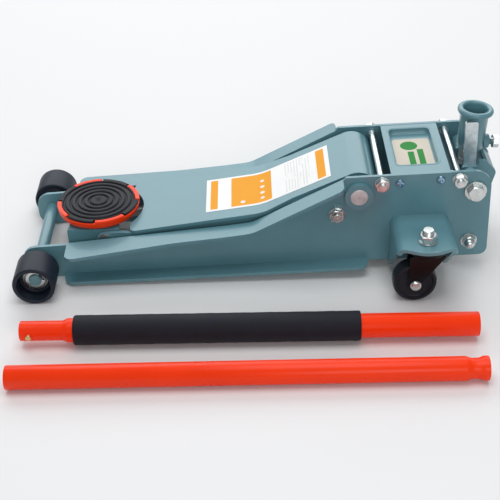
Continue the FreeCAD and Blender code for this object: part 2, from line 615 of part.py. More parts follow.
for name, side in SIDES.items():
    rod = new_body("levelling_rod_" + name, CHASSIS)
    aim = V(ax - bx, az - bz, 0).normalize()
    off = V(-aim.y, aim.x, 0) * 5.5
    bar = [V(ax, az, 0) + off, V(ax, az, 0) - off, V(bx, bz, 0) - off, V(bx, bz, 0) + off]
    place = span(side, "rod_in", "rod_out")
    pad(rod, "XZ_Plane", [outline([(p.x, p.y) for p in bar])], *place)
    pad(rod, "XZ_Plane", [ring(ax, az, 9)], *place)
    pad(rod, "XZ_Plane", [ring(bx, bz, 9)], *place)
    pocket(rod, "XZ_Plane", [ring(ax, az, size("link_r") + gap), ring(bx, bz, size("link_r") + gap)],
           *span(side, "rod_in - 1", "rod_out + 1"))

links = new_body("link_pins", CHASSIS)
pad_both(links, [ring(bx, bz, size("link_r"))], "rod_in - 2", "wall_out")

lean = math.radians(size("tilt_angle"))


def level(x, z):
    """Chassis point seen in the floor frame."""
    return x * math.cos(lean) - z * math.sin(lean), size("wheel_r") + x * math.sin(lean) + z * math.cos(lean)


head = level(hx, hz)
link = level(bx, bz)
bracket = new_body("saddle_bracket", FLOOR)
sx = size("saddle_x")
low = size("saddle_low")
wall = [(42, 46, 8), (42, low - 0.4, 2), (118, low - 0.4, 2), (112, 44, 12), (84, 18, 14), (link[0] - 10, link[1] - 10, 10),
        (link[0] - 12, link[1] + 8, 8)]
pad_both(bracket, [outline(wall)], "wall_in", "wall_out")
pad(bracket, "XY_Plane", [outline([(44, -48), (44, 48), (116, 48), (116, -48)])],
    "saddle_low - 7", "saddle_low - 0.4")
pad(bracket, "XY_Plane", [ring(sx, 0, 20)], "saddle_low - 24", "saddle_low - 6")
pocket(bracket, "XY_Plane", [ring(sx, 0, 12 + gap)], "saddle_low - 25", "saddle_low")
pocket(bracket, "XZ_Plane", [ring(head[0], head[1], size("head_r") + gap), ring(link[0], link[1], size("link_r"))],
       "0 - wall_out - 1", "wall_out + 1")

saddle_place = FreeCAD.Placement(FLOOR.Base + V(sx, 0, 0), FreeCAD.Rotation())
dish = new_body("saddle_dish", saddle_place)
rim = size("saddle_r")
floor = low + 5
revolve(dish, "XZ_Plane", [(0, low - 22), (12, low - 22), (12, low), (40, low, 6), (rim - 2, low + 3, 3), (rim, 83.2, 1),
                           (rim - 2.8, 83.2, 1), (rim - 3.6, floor), (0, floor)], "V_Axis")
lugs = []
for k in range(4):
    centre = 22 + 90 * k
    arc = [math.radians(centre + d) for d in (-23, -11.5, 0, 11.5, 23)]
    outer = [(rim * math.cos(b), rim * math.sin(b)) for b in arc]
    inner = [((rim - 7) * math.cos(b), (rim - 7) * math.sin(b)) for b in reversed(arc)]
    lugs.append(outline(outer + inner))
pad(dish, "XY_Plane", lugs, "saddle_low + 3", "saddle_top - 0.4")

pad_body = new_body("saddle_pad", saddle_place)
profile = [(0, floor), (size("pad_r"), floor), (size("pad_r"), 83.4), (size("pad_r") + 3, 83.4, 0.5),
           (size("pad_r") + 3, size("saddle_top") - 1.3, 1)]
for radius in (50, 41, 32, 23, 14):
    profile += [(radius + 1.2, size("saddle_top")), (radius + 1.2, size("saddle_top") - 1.8),
                (radius - 1.2, size("saddle_top") - 1.8), (radius - 1.2, size("saddle_top"))]
profile += [(0, size("saddle_top"))]
revolve(pad_body, "XZ_Plane", profile, "V_Axis")
clear = []
for k in range(4):
    centre = 22 + 90 * k
    arc = [math.radians(centre + d) for d in (-26, -13, 0, 13, 26)]
    outer = [((rim + 2) * math.cos(b), (rim + 2) * math.sin(b)) for b in arc]
    inner = [((rim - 8) * math.cos(b), (rim - 8) * math.sin(b)) for b in reversed(arc)]
    clear.append(outline(outer + inner))
pocket(pad_body, "XY_Plane", clear, "saddle_low", "saddle_top + 1")

# --- ram, pump and handle yoke -------------------------------------------------------------------

ram = new_body("ram_rod", CHASSIS)
mid = size("ram_z")
fork_shape = outline([(qx - 15, mid - 19, 6), (qx - 15, mid + 19, 6), (qx + 13, mid + 19, 6), (qx + 13, mid - 19, 6)])
pad(ram, "XZ_Plane", [fork_shape], "0 - lever_in + 0.7", "lever_in - 0.7")
pad(ram, "YZ_Plane", [ring(0, mid, size("ram_r"))], "%.3f" % (qx + 12), "594")
slack = size("lever_pin_r") + 1.3
slot = outline([(qx - slack, mid - 15, slack - 0.1), (qx - slack, mid + 15, slack - 0.1),
                (qx + slack, mid + 15, slack - 0.1), (qx + slack, mid - 15, slack - 0.1)])
pocket(ram, "XZ_Plane", [slot], "0 - lever_in", "lever_in")

plungers = new_body("pump_plungers", CHASSIS)
pad(plungers, "YZ_Plane", [ring(s * size("plunger_y"), size("plunger_z"), size("plunger_r")) for s in (-1, 1)], "566", "629")
pad(plungers, "YZ_Plane", [outline([(-23, 46, 3), (-23, 63, 3), (23, 63, 3), (23, 46, 3)])], "628", "634")
pocket(plungers, "YZ_Plane", [ring(0, size("ram_z"), size("cylinder_r") + 1.1)], "627", "635")

lean_back = math.radians(size("socket_lean"))
yoke_base = CHASSIS.multVec(V(yx, 0, yz))
yoke_turn = CHASSIS.Rotation.multiply(FreeCAD.Rotation(V(0, 1, 0), size("socket_lean")))
SOCKET = FreeCAD.Placement(yoke_base, yoke_turn)

socket = new_body("socket_tube", SOCKET)
outer = size("socket_r")
bore = size("socket_bore")
foot = size("socket_low")
mouth = size("socket_top")
revolve(socket, "XZ_Plane", [(bore, foot), (outer, foot), (outer, mouth - 9), (size("rim_r"), mouth - 8, 3),
                             (size("rim_r"), mouth, 4), (bore + 1, mouth, 0.8), (bore, mouth - 2)], "V_Axis")
pad(socket, "YZ_Plane", [ring(0, size("screw_s"), 10)], "socket_bore + 1", "socket_r + 7")
pocket(socket, "YZ_Plane", [ring(0, size("screw_s"), size("screw_r") + gap)], "socket_bore - 4", "socket_r + 8")

screw = new_body("clamp_screw", SOCKET)
pad(screw, "YZ_Plane", [ring(0, size("screw_s"), size("screw_r"))], "socket_bore + 0.2", "socket_r + 13")
pad(screw, "YZ_Plane", [hexagon(0, size("screw_s"), 16, 0)], "socket_r + 12.5", "socket_r + 21")

bars = new_body("yoke_bars", CHASSIS)
pad_both(bars, [outline([(yx - 9, yz - 14, 8.9), (yx - 9, yz + 80, 3), (yx + 9, yz + 80, 3), (yx + 9, yz - 14, 8.9)])],
         "bar_in", "bar_out")
pocket(bars, "XZ_Plane", [ring(yx, yz, size("yoke_bolt_r") + gap)], "0 - bar_out - 1", "bar_out + 1")

fork = new_body("yoke_fork", CHASSIS)
cheek = [(616, 70, 10), (616, 94, 4), (638.5, 94, 1), (640, 104, 3), (652, 101, 6), (666, 84, 10), (655, 46, 9), (632, 46, 9)]
pad_both(fork, [outline(cheek)], "bar_out", "yoke_out")
pad_both(fork, [ring(yx, yz, 11.5)], "yoke_out - 1", "web_in - 4")
back = [(655, 94), (664, 84), (661.5, 72), (656.5, 73.2), (658.6, 82.4), (651.5, 90.5)]
pad(fork, "XZ_Plane", [outline(back)], "0 - bar_out - 1", "bar_out + 1")
pocket(fork, "XZ_Plane", [ring(yx, yz, size("yoke_bolt_r") + gap), ring(size("roller_x"), size("roller_z"), 4)],
       "0 - web_in", "web_in")

roller = new_body("drive_roller", CHASSIS)
pad(roller, "XZ_Plane", [ring(size("roller_x"), size("roller_z"), size("roller_r")),
                         ring(size("roller_x"), size("roller_z"), 4)], "0 - bar_out + 0.5", "bar_out - 0.5")
roller_pin = new_body("roller_pin", CHASSIS)
pad(roller_pin, "XZ_Plane", [ring(size("roller_x"), size("roller_z"), 4)], "0 - yoke_out - 2", "yoke_out + 2")

valve = new_body("release_valve_stem", CHASSIS)
pad(valve, "YZ_Plane", [ring(20, 6, 4)], "block_rear + 0.3", "block_rear + 8")
pad(valve, "YZ_Plane", [outline([(14, 4, 1), (14, 8, 1), (26, 8, 1), (26, 4, 1)])], "block_rear + 7", "block_rear + 14")

# --- two-piece handle ----------------------------------------------------------------------------

upper_place = FreeCAD.Placement(FLOOR.Base + V(size("upper_x"), size("upper_y"), size("grip_r")),
                                FreeCAD.Rotation(V(0, 0, 1), size("upper_yaw")))
upper = new_body("upper_handle_tube", upper_place)
inside = size("handle_bore")
tube = size("handle_r")
neck = size("neck_r")
reach = size("neck_long")
total = size("handle_long")
revolve(upper, "XZ_Plane", [(0, neck - 3), (0, neck, 1), (reach, neck), (reach + 6, tube), (total, tube, 1),
                            (total, inside), (reach + 8, inside), (reach + 2, neck - 3)], "H_Axis")
pocket(upper, "XZ_Plane", [ring(13, 0, 4)], "0 - 20", "20")

cross_pin = new_body("handle_pin", upper_place)
pad(cross_pin, "XZ_Plane", [ring(13, 0, 4)], "0 - neck_r - 3.5", "neck_r + 3.5")

grip = new_body("handle_sleeve", upper_place)
pad(grip, "YZ_Plane", [ring(0, 0, size("grip_r")), ring(0, 0, size("handle_r"))], "grip_start", "grip_end")
soften(grip, 2.0, lambda edge: edge.Curve.TypeId == "Part::GeomCircle" and edge.Curve.Radius > 20)

lower_place = FreeCAD.Placement(FLOOR.Base + V(size("lower_x"), size("lower_y"), size("lower_r")),
                                FreeCAD.Rotation(V(0, 0, 1), size("lower_yaw")))
lower = new_body("lower_handle_tube", lower_place)
tube = size("lower_r")
long = size("lower_long")
revolve(lower, "XZ_Plane", [(0, tube - 2.2), (0, tube, 0.8), (long - 27, tube), (long - 24, tube - 2.5, 2),
                            (long - 12, tube - 2.5, 2), (long - 6, tube), (long, tube, 0.8), (long, tube - 2.2),
                            (long - 6, tube - 2.2), (long - 12, tube - 4.7), (long - 24, tube - 4.7),
                            (long - 27, tube - 2.2)], "H_Axis")

# --- checks and export ---------------------------------------------------------------------------

doc.recompute()
faults = [item.Name for item in doc.Objects if "Invalid" in item.State or "Error" in item.State]
for feature in cuts:
    if feature.Shape.Volume >= feature.BaseFeature.Shape.Volume - 1e-3:
        faults.append(feature.Name + " cuts nothing")
for body in bodies:
    if body.Shape.isNull() or not body.Shape.isValid() or not body.Shape.Solids:
        faults.append(body.Label + " has no valid solid")
if faults:
    raise RuntimeError("; ".join(faults))

os.makedirs("parts", exist_ok=True)
whole = FreeCAD.BoundBox()
for body in bodies:
    body.Shape.exportStep(os.path.join("parts", body.Label + ".step"))
    whole.add(body.Shape.BoundBox)
print("pieces", len(bodies))
print("box", [round(v, 3) for v in (whole.XMin, whole.XMax, whole.YMin, whole.YMax, whole.ZMin, whole.ZMax)])
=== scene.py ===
"""Finished looks of a low-profile floor jack and its two loose handle halves."""

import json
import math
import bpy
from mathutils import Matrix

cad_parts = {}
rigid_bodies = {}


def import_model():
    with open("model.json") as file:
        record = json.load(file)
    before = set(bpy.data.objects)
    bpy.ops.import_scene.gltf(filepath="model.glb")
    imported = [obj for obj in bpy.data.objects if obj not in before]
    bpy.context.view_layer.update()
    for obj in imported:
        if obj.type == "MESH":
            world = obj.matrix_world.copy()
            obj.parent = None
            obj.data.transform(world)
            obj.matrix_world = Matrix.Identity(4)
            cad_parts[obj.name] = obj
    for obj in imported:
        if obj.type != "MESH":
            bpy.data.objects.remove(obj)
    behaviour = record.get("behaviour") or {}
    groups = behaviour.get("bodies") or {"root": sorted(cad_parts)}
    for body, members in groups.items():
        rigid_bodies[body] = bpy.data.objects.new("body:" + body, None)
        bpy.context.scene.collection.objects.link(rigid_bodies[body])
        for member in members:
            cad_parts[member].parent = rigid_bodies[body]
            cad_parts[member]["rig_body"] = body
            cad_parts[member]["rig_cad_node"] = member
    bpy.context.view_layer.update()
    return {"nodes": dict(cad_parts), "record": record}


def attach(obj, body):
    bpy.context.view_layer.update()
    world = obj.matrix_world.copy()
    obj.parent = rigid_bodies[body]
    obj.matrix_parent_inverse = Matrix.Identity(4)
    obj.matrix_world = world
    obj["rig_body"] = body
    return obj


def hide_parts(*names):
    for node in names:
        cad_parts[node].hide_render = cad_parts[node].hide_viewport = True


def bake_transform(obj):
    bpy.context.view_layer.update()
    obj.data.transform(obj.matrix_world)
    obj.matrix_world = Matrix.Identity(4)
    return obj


bl_info = {
    "name": "Low-profile floor jack",
    "version": (1, 0, 0),
    "blender": (4, 5, 0),
    "location": "3D View > Sidebar > Floor jack",
    "description": "Enamel, plating, rubber, fasteners and small parts of a floor jack",
    "category": "Object",
}

import bpy
from mathutils import Matrix, Vector

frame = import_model()
NODES = frame["nodes"]

# Start of the chassis drawing in the shared frame: the middle of the front axle, in metres.
AXLE = Vector((-0.319313, 0.08182, 0.0302))

# Places in the chassis drawing, as (x, z) in millimetres from the front axle.
PIVOT = (464.5, 85)
YOKE = (628, 82)
REAR_BOLT = (623, -2)
PLATE_FACE = 75  # outer face of a side plate, from the middle
LEVER_REACH, LEVER_ANGLE = 60, math.radians(35)  # ram lever behind straight down

# Places measured level from the front axle, in millimetres, with heights up from the floor.
ROLLER_HEIGHT = 30.2
CASTER_Y = 144
CASTER_STEM_X = 551
CASTER_AXLE = (536, 31)

# Sides of the jack: name, sign of y and the axis that points outboard.
SIDES = (("left", -1, "-Y"), ("right", 1, "+Y"))

# Turns of a +Z piece onto the other axes.
QUARTER = math.pi / 2
ONTO_X = Matrix.Rotation(QUARTER, 4, "Y")
ONTO_MINUS_Y = Matrix.Rotation(QUARTER, 4, "X")

MERGE_GAP = 1e-6  # points closer than this are one, in metres
PRINT_EDGE = 0.00015  # softness of a printed edge, in metres


# --- settings ------------------------------------------------------------------------------------


def tint(label, text, colour):
    """Colour setting shown with a colour picker."""
    return bpy.props.FloatVectorProperty(name=label, description=text, size=3, subtype="COLOR",
                                         min=0.0, max=1.0, default=colour)


def length(label, text, value):
    """Length setting in metres."""
    return bpy.props.FloatProperty(name=label, description=text, default=value, min=0.0, unit="LENGTH",
                                   precision=4)


class JackColours(bpy.types.PropertyGroup):
    """Finishes of the jack."""

    enamel: tint("Enamel", "Teal-grey paint of the chassis and lift arm", (0.105, 0.246, 0.288))
    saddle: tint("Saddle", "Orange-red paint of the saddle dish", (1.0, 0.046, 0.001))
    handle: tint("Handle", "Orange-red powder coat of the handle tubes", (1.0, 0.040, 0.0005))
    foam: tint("Foam", "Dark navy foam of the padded sleeve", (0.007, 0.008, 0.014))
    rubber: tint("Rubber", "Black rubber of the saddle pad", (0.008, 0.009, 0.013))
    roller: tint("Rollers", "Blue-black paint of the front rollers", (0.008, 0.014, 0.026))
    caster: tint("Casters", "Gloss black of the caster forks", (0.004, 0.004, 0.005))
    zinc: tint("Zinc", "Bright plating of the fasteners", (0.70, 0.73, 0.72))
    label_paper: tint("Label", "White film of the arm label", (0.86, 0.86, 0.85))
    label_block: tint("Label blocks", "Orange blocks printed on the arm label", (0.82, 0.34, 0.012))


class JackSizes(bpy.types.PropertyGroup):
    """Sizes of the pieces that are modelled here."""

    lean: bpy.props.FloatProperty(name="Lean", description="Nose-down lean of the chassis", subtype="ANGLE",
                                  default=math.radians(1.7))
    edge: length("Plate edge", "Rounding of a cut plate edge", 0.0009)
    spring_wire: length("Spring wire", "Wire thickness of a return spring", 0.0016)
    spring_radius: length("Spring radius", "Mean radius of a return spring's coils", 0.0025)
    spring_turns: bpy.props.IntProperty(name="Spring turns", description="Coils of a return spring", default=26,
                                        min=4)
    thread_pitch: length("Thread pitch", "Pitch of the exposed threads", 0.0015)
    groove: length("Groove", "Spacing of the pad's ring grooves", 0.009)


def settings():
    """Colours and sizes of the jack being finished."""
    scene = bpy.context.scene
    return scene.jack_colours, scene.jack_sizes


# --- places --------------------------------------------------------------------------------------


def chassis(x, y, z):
    """Point of the leaning chassis drawing, in millimetres from the front axle, in the shared frame."""
    lean = settings()[1].lean
    ahead = x * math.cos(lean) - z * math.sin(lean)
    up = x * math.sin(lean) + z * math.cos(lean)
    return AXLE + Vector((ahead, y, up)) / 1000


def level(x, y, z):
    """Point measured level from the front axle and up from the floor, in millimetres, in the shared frame."""
    return Vector((AXLE.x + x / 1000, AXLE.y + y / 1000, z / 1000))


def stem_place(side):
    """Place of a caster's swivel on the floor."""
    return Matrix.Translation(level(CASTER_STEM_X, CASTER_Y * side, 0))


def wheel_centre(side, shift=0):
    """Centre of a caster wheel, or a point beside it."""
    x, z = CASTER_AXLE
    return level(x, CASTER_Y * side + shift, z)


# --- modelling tools -----------------------------------------------------------------------------


def alone(obj):
    """Select one object and make it active."""
    if bpy.context.mode != "OBJECT":
        bpy.ops.object.mode_set(mode="OBJECT")
    bpy.ops.object.select_all(action="DESELECT")
    obj.select_set(True)
    bpy.context.view_layer.objects.active = obj
    return obj


def added(name):
    """Name the object that was just added."""
    obj = bpy.context.active_object
    obj.name = name
    obj.data.name = name
    return obj


def edit_all():
    """Enter edit mode with the whole mesh selected."""
    bpy.ops.object.mode_set(mode="EDIT")
    bpy.ops.mesh.select_all(action="SELECT")


def bake_place():
    """Move the selected object's place, turn and size into its mesh."""
    bpy.ops.object.transform_apply(location=True, rotation=True, scale=True)


def apply_modifier(obj, kind, **values):
    """Add a modifier with its values and apply it."""
    alone(obj)
    modifier = obj.modifiers.new(kind.title(), kind)
    for key, value in values.items():
        setattr(modifier, key, value)
    bpy.ops.object.modifier_apply(modifier=modifier.name)
    return obj


def bevelled(obj, width, segments, degrees):
    """Round the edges that turn by more than an angle."""
    return apply_modifier(obj, "BEVEL", width=width, segments=segments, limit_method="ANGLE",
                          angle_limit=math.radians(degrees), use_clamp_overlap=True)


def smooth(obj, degrees):
    """Smooth shading with sharp creases kept."""
    alone(obj)
    bpy.ops.object.shade_smooth_by_angle(angle=math.radians(degrees))
    return obj


def tidy(obj):
    """Merge doubled points and turn all faces outwards."""
    alone(obj)
    edit_all()
    bpy.ops.mesh.remove_doubles(threshold=MERGE_GAP)
    bpy.ops.mesh.normals_make_consistent(inside=False)
    bpy.ops.object.mode_set(mode="OBJECT")
    return obj


def drawn(name, points):
    """Line through (radius, height) points in millimetres, left selected in edit mode."""
    bpy.ops.object.select_all(action="DESELECT")
    bpy.ops.mesh.primitive_plane_add(size=0.001)
    obj = added(name)
    edit_all()
    bpy.ops.mesh.merge(type="CENTER")
    here = Vector((points[0][0], 0, points[0][1])) / 1000
    bpy.ops.transform.translate(value=here)
    for radius, height in points[1:]:
        there = Vector((radius, 0, height)) / 1000
        bpy.ops.mesh.extrude_region_move(TRANSFORM_OT_translate={"value": there - here})
        here = there
    bpy.ops.mesh.select_all(action="SELECT")
    return obj


def lathe(name, profile, steps=96, closed=False):
    """Shape turned about +Z from (radius, height) points in millimetres."""
    obj = drawn(name, profile + profile[:1] if closed else profile)
    bpy.ops.mesh.spin(steps=steps, angle=math.tau, center=(0, 0, 0), axis=(0, 0, 1))
    bpy.ops.object.mode_set(mode="OBJECT")
    return tidy(obj)


def sector(name, profile, degrees, steps=20):
    """Closed profile of (radius, height) points turned part of the way about +Z, centred on +X."""
    obj = drawn(name, profile + profile[:1])
    bpy.ops.mesh.remove_doubles(threshold=MERGE_GAP)
    bpy.ops.mesh.spin(steps=steps, angle=math.radians(degrees), center=(0, 0, 0), axis=(0, 0, 1))
    bpy.ops.mesh.select_all(action="DESELECT")
    bpy.ops.mesh.select_non_manifold()
    bpy.ops.mesh.edge_face_add()
    bpy.ops.object.mode_set(mode="OBJECT")
    tidy(obj)
    return set_down(obj, turned(degrees / 2))


def turned(degrees):
    """Turn about +Z."""
    return Matrix.Rotation(math.radians(degrees), 4, "Z")


def arc(centre, radius, start, end, steps=6):
    """Points of an arc in a profile, angles in degrees."""
    turn = [math.radians(start + (end - start) * i / steps) for i in range(steps + 1)]
    return [(centre[0] + radius * math.cos(a), centre[1] + radius * math.sin(a)) for a in turn]


def cut(obj, tool, operation="DIFFERENCE"):
    """Cut a shape with another, which is used up."""
    apply_modifier(obj, "BOOLEAN", operation=operation, object=tool, solver="EXACT")
    bpy.data.objects.remove(tool)


def joined(objs, name):
    """One object of several."""
    alone(objs[0])
    for other in objs[1:]:
        other.select_set(True)
    bpy.ops.object.join()
    return added(name)


def set_down(obj, matrix):
    """Put a piece where it belongs and bake the place into its mesh."""
    obj.matrix_world = matrix
    alone(obj)
    bake_place()
    if matrix.determinant() < 0:
        tidy(obj)
    return obj


def copied(obj, name):
    """Copy with its own mesh."""
    alone(obj)
    bpy.ops.object.duplicate(linked=False)
    return added(name)


def along(axis, at, lean=True):
    """Matrix that stands a +Z piece on a point with its +Z along an axis of the chassis or the room."""
    tilt = Matrix.Rotation(-settings()[1].lean, 4, "Y") if lean else Matrix.Identity(4)
    turn = {"+Z": Matrix.Identity(4), "+Y": Matrix.Rotation(-QUARTER, 4, "X"), "-Y": ONTO_MINUS_Y}[axis]
    return Matrix.Translation(at) @ tilt @ turn


def coated(obj, key):
    """Give a piece one finish."""
    obj.data.materials.clear()
    obj.data.materials.append(finish_of(key))


def dressed(obj, body, key, replaces=()):
    """Give a finished piece its finish and its body, and hide the CAD nodes that it stands for."""
    coated(obj, key)
    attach(obj, body)
    if replaces:
        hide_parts(*replaces)


def placed(obj, matrix, crease, body, key, replaces=()):
    """Set a piece down, smooth it up to a crease angle in degrees and dress it."""
    smooth(set_down(obj, matrix), crease)
    dressed(obj, body, key, replaces)


def chamfered_hex(name, flats, low, high, top=True, bottom=False, turn=0.0):
    """Hexagon whose corners are cut by a cone, as on a forged nut or bolt head."""
    corner = flats / 2 / math.cos(math.pi / 6)
    bpy.ops.object.select_all(action="DESELECT")
    bpy.ops.mesh.primitive_cylinder_add(vertices=6, radius=corner / 1000, depth=(high - low) / 1000,
                                        location=(0, 0, (high + low) / 2000), rotation=(0, 0, turn))
    hexagon = added(name)
    bake_place()
    flat_circle = flats / 2 * 0.97
    rise = (corner - flat_circle) * math.tan(math.radians(30))
    outer, under, over = corner + 0.2, low - 0.01, high + 0.01
    profile = [(0, under)]
    profile += [(flat_circle, under), (outer, low + rise)] if bottom else [(outer, under)]
    profile += [(outer, high - rise), (flat_circle, over)] if top else [(outer, over)]
    profile += [(0, over)]
    cut(hexagon, lathe(name + "_cone", profile, steps=72), "INTERSECT")
    return hexagon


def washer(name, radius, bore, low, high):
    """Flat washer with broken edges."""
    c = min(0.35, (high - low) / 4)
    return lathe(name, [(bore, low), (radius - c, low), (radius, low + c), (radius, high - c), (radius - c, high),
                        (bore, high)], steps=64, closed=True)


def stud_end(name, radius, low, high):
    """Threaded end with real thread crests and a broken tip."""
    pitch = settings()[1].thread_pitch * 1000
    profile = [(0, low), (radius, low)]
    height = low + pitch / 2
    while height < high - pitch:
        profile += [(radius - 0.45, height), (radius, height + pitch / 2)]
        height += pitch
    profile += [(radius - 0.5, high - 0.3), (radius - 1.2, high), (0, high)]
    return lathe(name, profile, steps=48)


def soft_copy(node, width):
    """Copy of a CAD piece with its cut edges rounded over, which stands for that piece."""
    obj = copied(NODES[node], node + "_finished")
    obj.parent = None
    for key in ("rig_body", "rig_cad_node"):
        if key in obj:
            del obj[key]
    obj.hide_render = False
    obj.matrix_world = Matrix.Identity(4)
    tidy(obj)
    apply_modifier(obj, "DECIMATE", decimate_type="DISSOLVE", angle_limit=math.radians(0.5))
    bevelled(obj, width, 2, 38)
    smooth(obj, 40)
    return apply_modifier(obj, "WEIGHTED_NORMAL", keep_sharp=True, weight=80)


# --- materials -----------------------------------------------------------------------------------


class Mixture:
    """Node tree of one finish, built from small steps."""

    def __init__(self, name, colour, roughness, metallic=0.0, coat=0.0, specular=0.5):
        self.material = bpy.data.materials.new(name)
        self.material.use_nodes = True
        self.nodes = self.material.node_tree.nodes
        self.shader = next(n for n in self.nodes if n.type == "BSDF_PRINCIPLED")
        self.base = tuple(colour) + (1.0,)
        self.set("Base Color", self.base)
        self.set("Roughness", roughness)
        self.set("Metallic", metallic)
        self.set("Coat Weight", coat)
        self.set("Coat Roughness", 0.08)
        self.set("Specular IOR Level", specular)
        self.place = self.add("ShaderNodeTexCoord").outputs["Object"]
        self.height = None

    def add(self, kind):
        return self.nodes.new(kind)

    def set(self, socket, value):
        self.shader.inputs[socket].default_value = value

    def join(self, output, socket):
        self.material.node_tree.links.new(output, socket)

    def colour_from(self, output):
        self.join(output, self.shader.inputs["Base Color"])

    def roughness_from(self, output):
        self.join(output, self.shader.inputs["Roughness"])

    def mapped(self, scale, turn=(0, 0, 0)):
        """Object coordinates turned and stretched."""
        node = self.add("ShaderNodeMapping")
        node.inputs["Scale"].default_value = scale
        node.inputs["Rotation"].default_value = turn
        self.join(self.place, node.inputs["Vector"])
        return node.outputs["Vector"]

    def noise(self, scale, detail=3.0, rough=0.55, vector=None):
        """Noise value from 0 to 1."""
        node = self.add("ShaderNodeTexNoise")
        node.inputs["Scale"].default_value = scale
        node.inputs["Detail"].default_value = detail
        node.inputs["Roughness"].default_value = rough
        self.join(vector or self.place, node.inputs["Vector"])
        return node.outputs["Fac"]

    def cells(self, scale):
        """Distance to the nearest cell centre."""
        node = self.add("ShaderNodeTexVoronoi")
        node.inputs["Scale"].default_value = scale
        self.join(self.place, node.inputs["Vector"])
        return node.outputs["Distance"]

    def spread(self, value, low, high, out_low=0.0, out_high=1.0):
        """Clamped map of a value from one range to another."""
        node = self.add("ShaderNodeMapRange")
        node.clamp = True
        for socket, number in zip(("From Min", "From Max", "To Min", "To Max"), (low, high, out_low, out_high)):
            node.inputs[socket].default_value = number
        self.join(value, node.inputs["Value"])
        return node.outputs["Result"]

    def maths(self, operation, first, second=None):
        """Math node on values or numbers."""
        node = self.add("ShaderNodeMath")
        node.operation = operation
        for socket, item in zip(node.inputs, (first, second)):
            if item is None:
                continue
            if isinstance(item, (int, float)):
                socket.default_value = item
            else:
                self.join(item, socket)
        return node.outputs["Value"]

    def blend(self, factor, colour, other):
        """Colour between two, each a colour or an output."""
        node = self.add("ShaderNodeMix")
        node.data_type = "RGBA"
        self.join(factor, node.inputs["Factor"])
        for socket, item in ((node.inputs[6], colour), (node.inputs[7], other)):
            if isinstance(item, tuple):
                socket.default_value = item
            else:
                self.join(item, socket)
        return node.outputs[2]

    def shade(self, amount):
        """The base colour made lighter or darker."""
        return tuple(min(1.0, v * amount) for v in self.base[:3]) + (1.0,)

    def bump(self, height, distance, strength=1.0):
        """Stack one more bump on the surface."""
        node = self.add("ShaderNodeBump")
        node.inputs["Strength"].default_value = strength
        node.inputs["Distance"].default_value = distance
        self.join(height, node.inputs["Height"])
        if self.height:
            self.join(self.height, node.inputs["Normal"])
        self.height = node.outputs["Normal"]
        self.join(self.height, self.shader.inputs["Normal"])

    def axes(self):
        """Object coordinates as separate X and Y values."""
        node = self.add("ShaderNodeSeparateXYZ")
        self.join(self.place, node.inputs["Vector"])
        return node.outputs["X"], node.outputs["Y"]

    def disc(self, x, y, at_x, at_y, radius):
        """One inside an upright round spot and zero outside it."""
        dx = self.maths("SUBTRACT", x, at_x)
        dy = self.maths("SUBTRACT", y, at_y)
        reach = self.maths("SQRT", self.maths("ADD", self.times(dx, dx), self.times(dy, dy)))
        return self.spread(reach, radius - PRINT_EDGE, radius + PRINT_EDGE, 1.0, 0.0)

    def band(self, value, low, high):
        """One inside a range of a coordinate and zero outside it."""
        rise = self.spread(value, low - PRINT_EDGE, low + PRINT_EDGE)
        fall = self.spread(value, high - PRINT_EDGE, high + PRINT_EDGE, 1.0, 0.0)
        return self.times(rise, fall)

    def times(self, first, second):
        return self.maths("MULTIPLY", first, second)

    def any_of(self, masks):
        """The largest of several masks."""
        found = masks[0]
        for mask in masks[1:]:
            found = self.maths("MAXIMUM", found, mask)
        return found

    def film(self):
        """Faint sheen and ripple of a printed film."""
        self.roughness_from(self.spread(self.noise(90.0, 4.0), 0.3, 0.7, 0.42, 0.52))
        self.bump(self.noise(260.0, 3.0), 0.00008, 0.2)


def enamel(name, colour, roughness=0.34, coat=0.25, wear=0.04, peel=0.00012, specular=0.5):
    """Sprayed enamel: faint mottling, orange peel, dust in the low spots and small rubs to primer."""
    mix = Mixture(name, colour, roughness, coat=coat, specular=specular)
    cloud = mix.noise(9.0, 4.0)
    tone = mix.blend(mix.spread(cloud, 0.3, 0.7), mix.shade(0.90), mix.shade(1.10))
    dust = mix.spread(mix.noise(60.0, 6.0, 0.7), 0.56, 0.78)
    tone = mix.blend(mix.times(dust, 0.14), tone, mix.shade(1.45))
    grain = mix.noise(150.0, 5.0, 0.75, mix.mapped((0.22, 1.0, 1.0), (0.0, 0.0, 0.4)))
    rub = mix.times(mix.spread(grain, 0.69, 0.72), mix.spread(mix.noise(22.0), 0.56, 0.62))
    tone = mix.blend(mix.times(rub, wear), tone, (0.42, 0.44, 0.45, 1.0))
    mix.colour_from(tone)
    gloss = mix.maths("ADD", mix.spread(cloud, 0.3, 0.7, roughness - 0.04, roughness + 0.05),
                      mix.times(dust, 0.12))
    mix.roughness_from(gloss)
    mix.bump(mix.noise(700.0, 2.0), peel, 0.16)
    mix.bump(rub, 0.00004, -0.1)
    return mix.material


def plated(name, colour, roughness=0.26, brushed=(1.0, 1.0, 1.0), stain=0.12, metallic=1.0):
    """Zinc plate or turned steel: fine lines, cloudy passivation and small dark spots."""
    mix = Mixture(name, colour, roughness, metallic=metallic)
    cloud = mix.noise(120.0, 5.0, 0.6)
    tone = mix.blend(mix.spread(cloud, 0.35, 0.7), mix.shade(0.80), mix.shade(1.08))
    warm = tuple(v * f for v, f in zip(mix.base[:3], (0.98, 0.90, 0.72))) + (1.0,)
    tone = mix.blend(mix.times(mix.spread(mix.noise(55.0, 4.0), 0.5, 0.75), stain), tone, warm)
    mix.colour_from(tone)
    lines = mix.noise(900.0, 3.0, 0.6, mix.mapped(brushed))
    mix.roughness_from(mix.maths("ADD", mix.spread(cloud, 0.3, 0.7, roughness - 0.06, roughness + 0.08),
                                 mix.times(lines, 0.08)))
    mix.bump(lines, 0.00002, 0.12)
    return mix.material


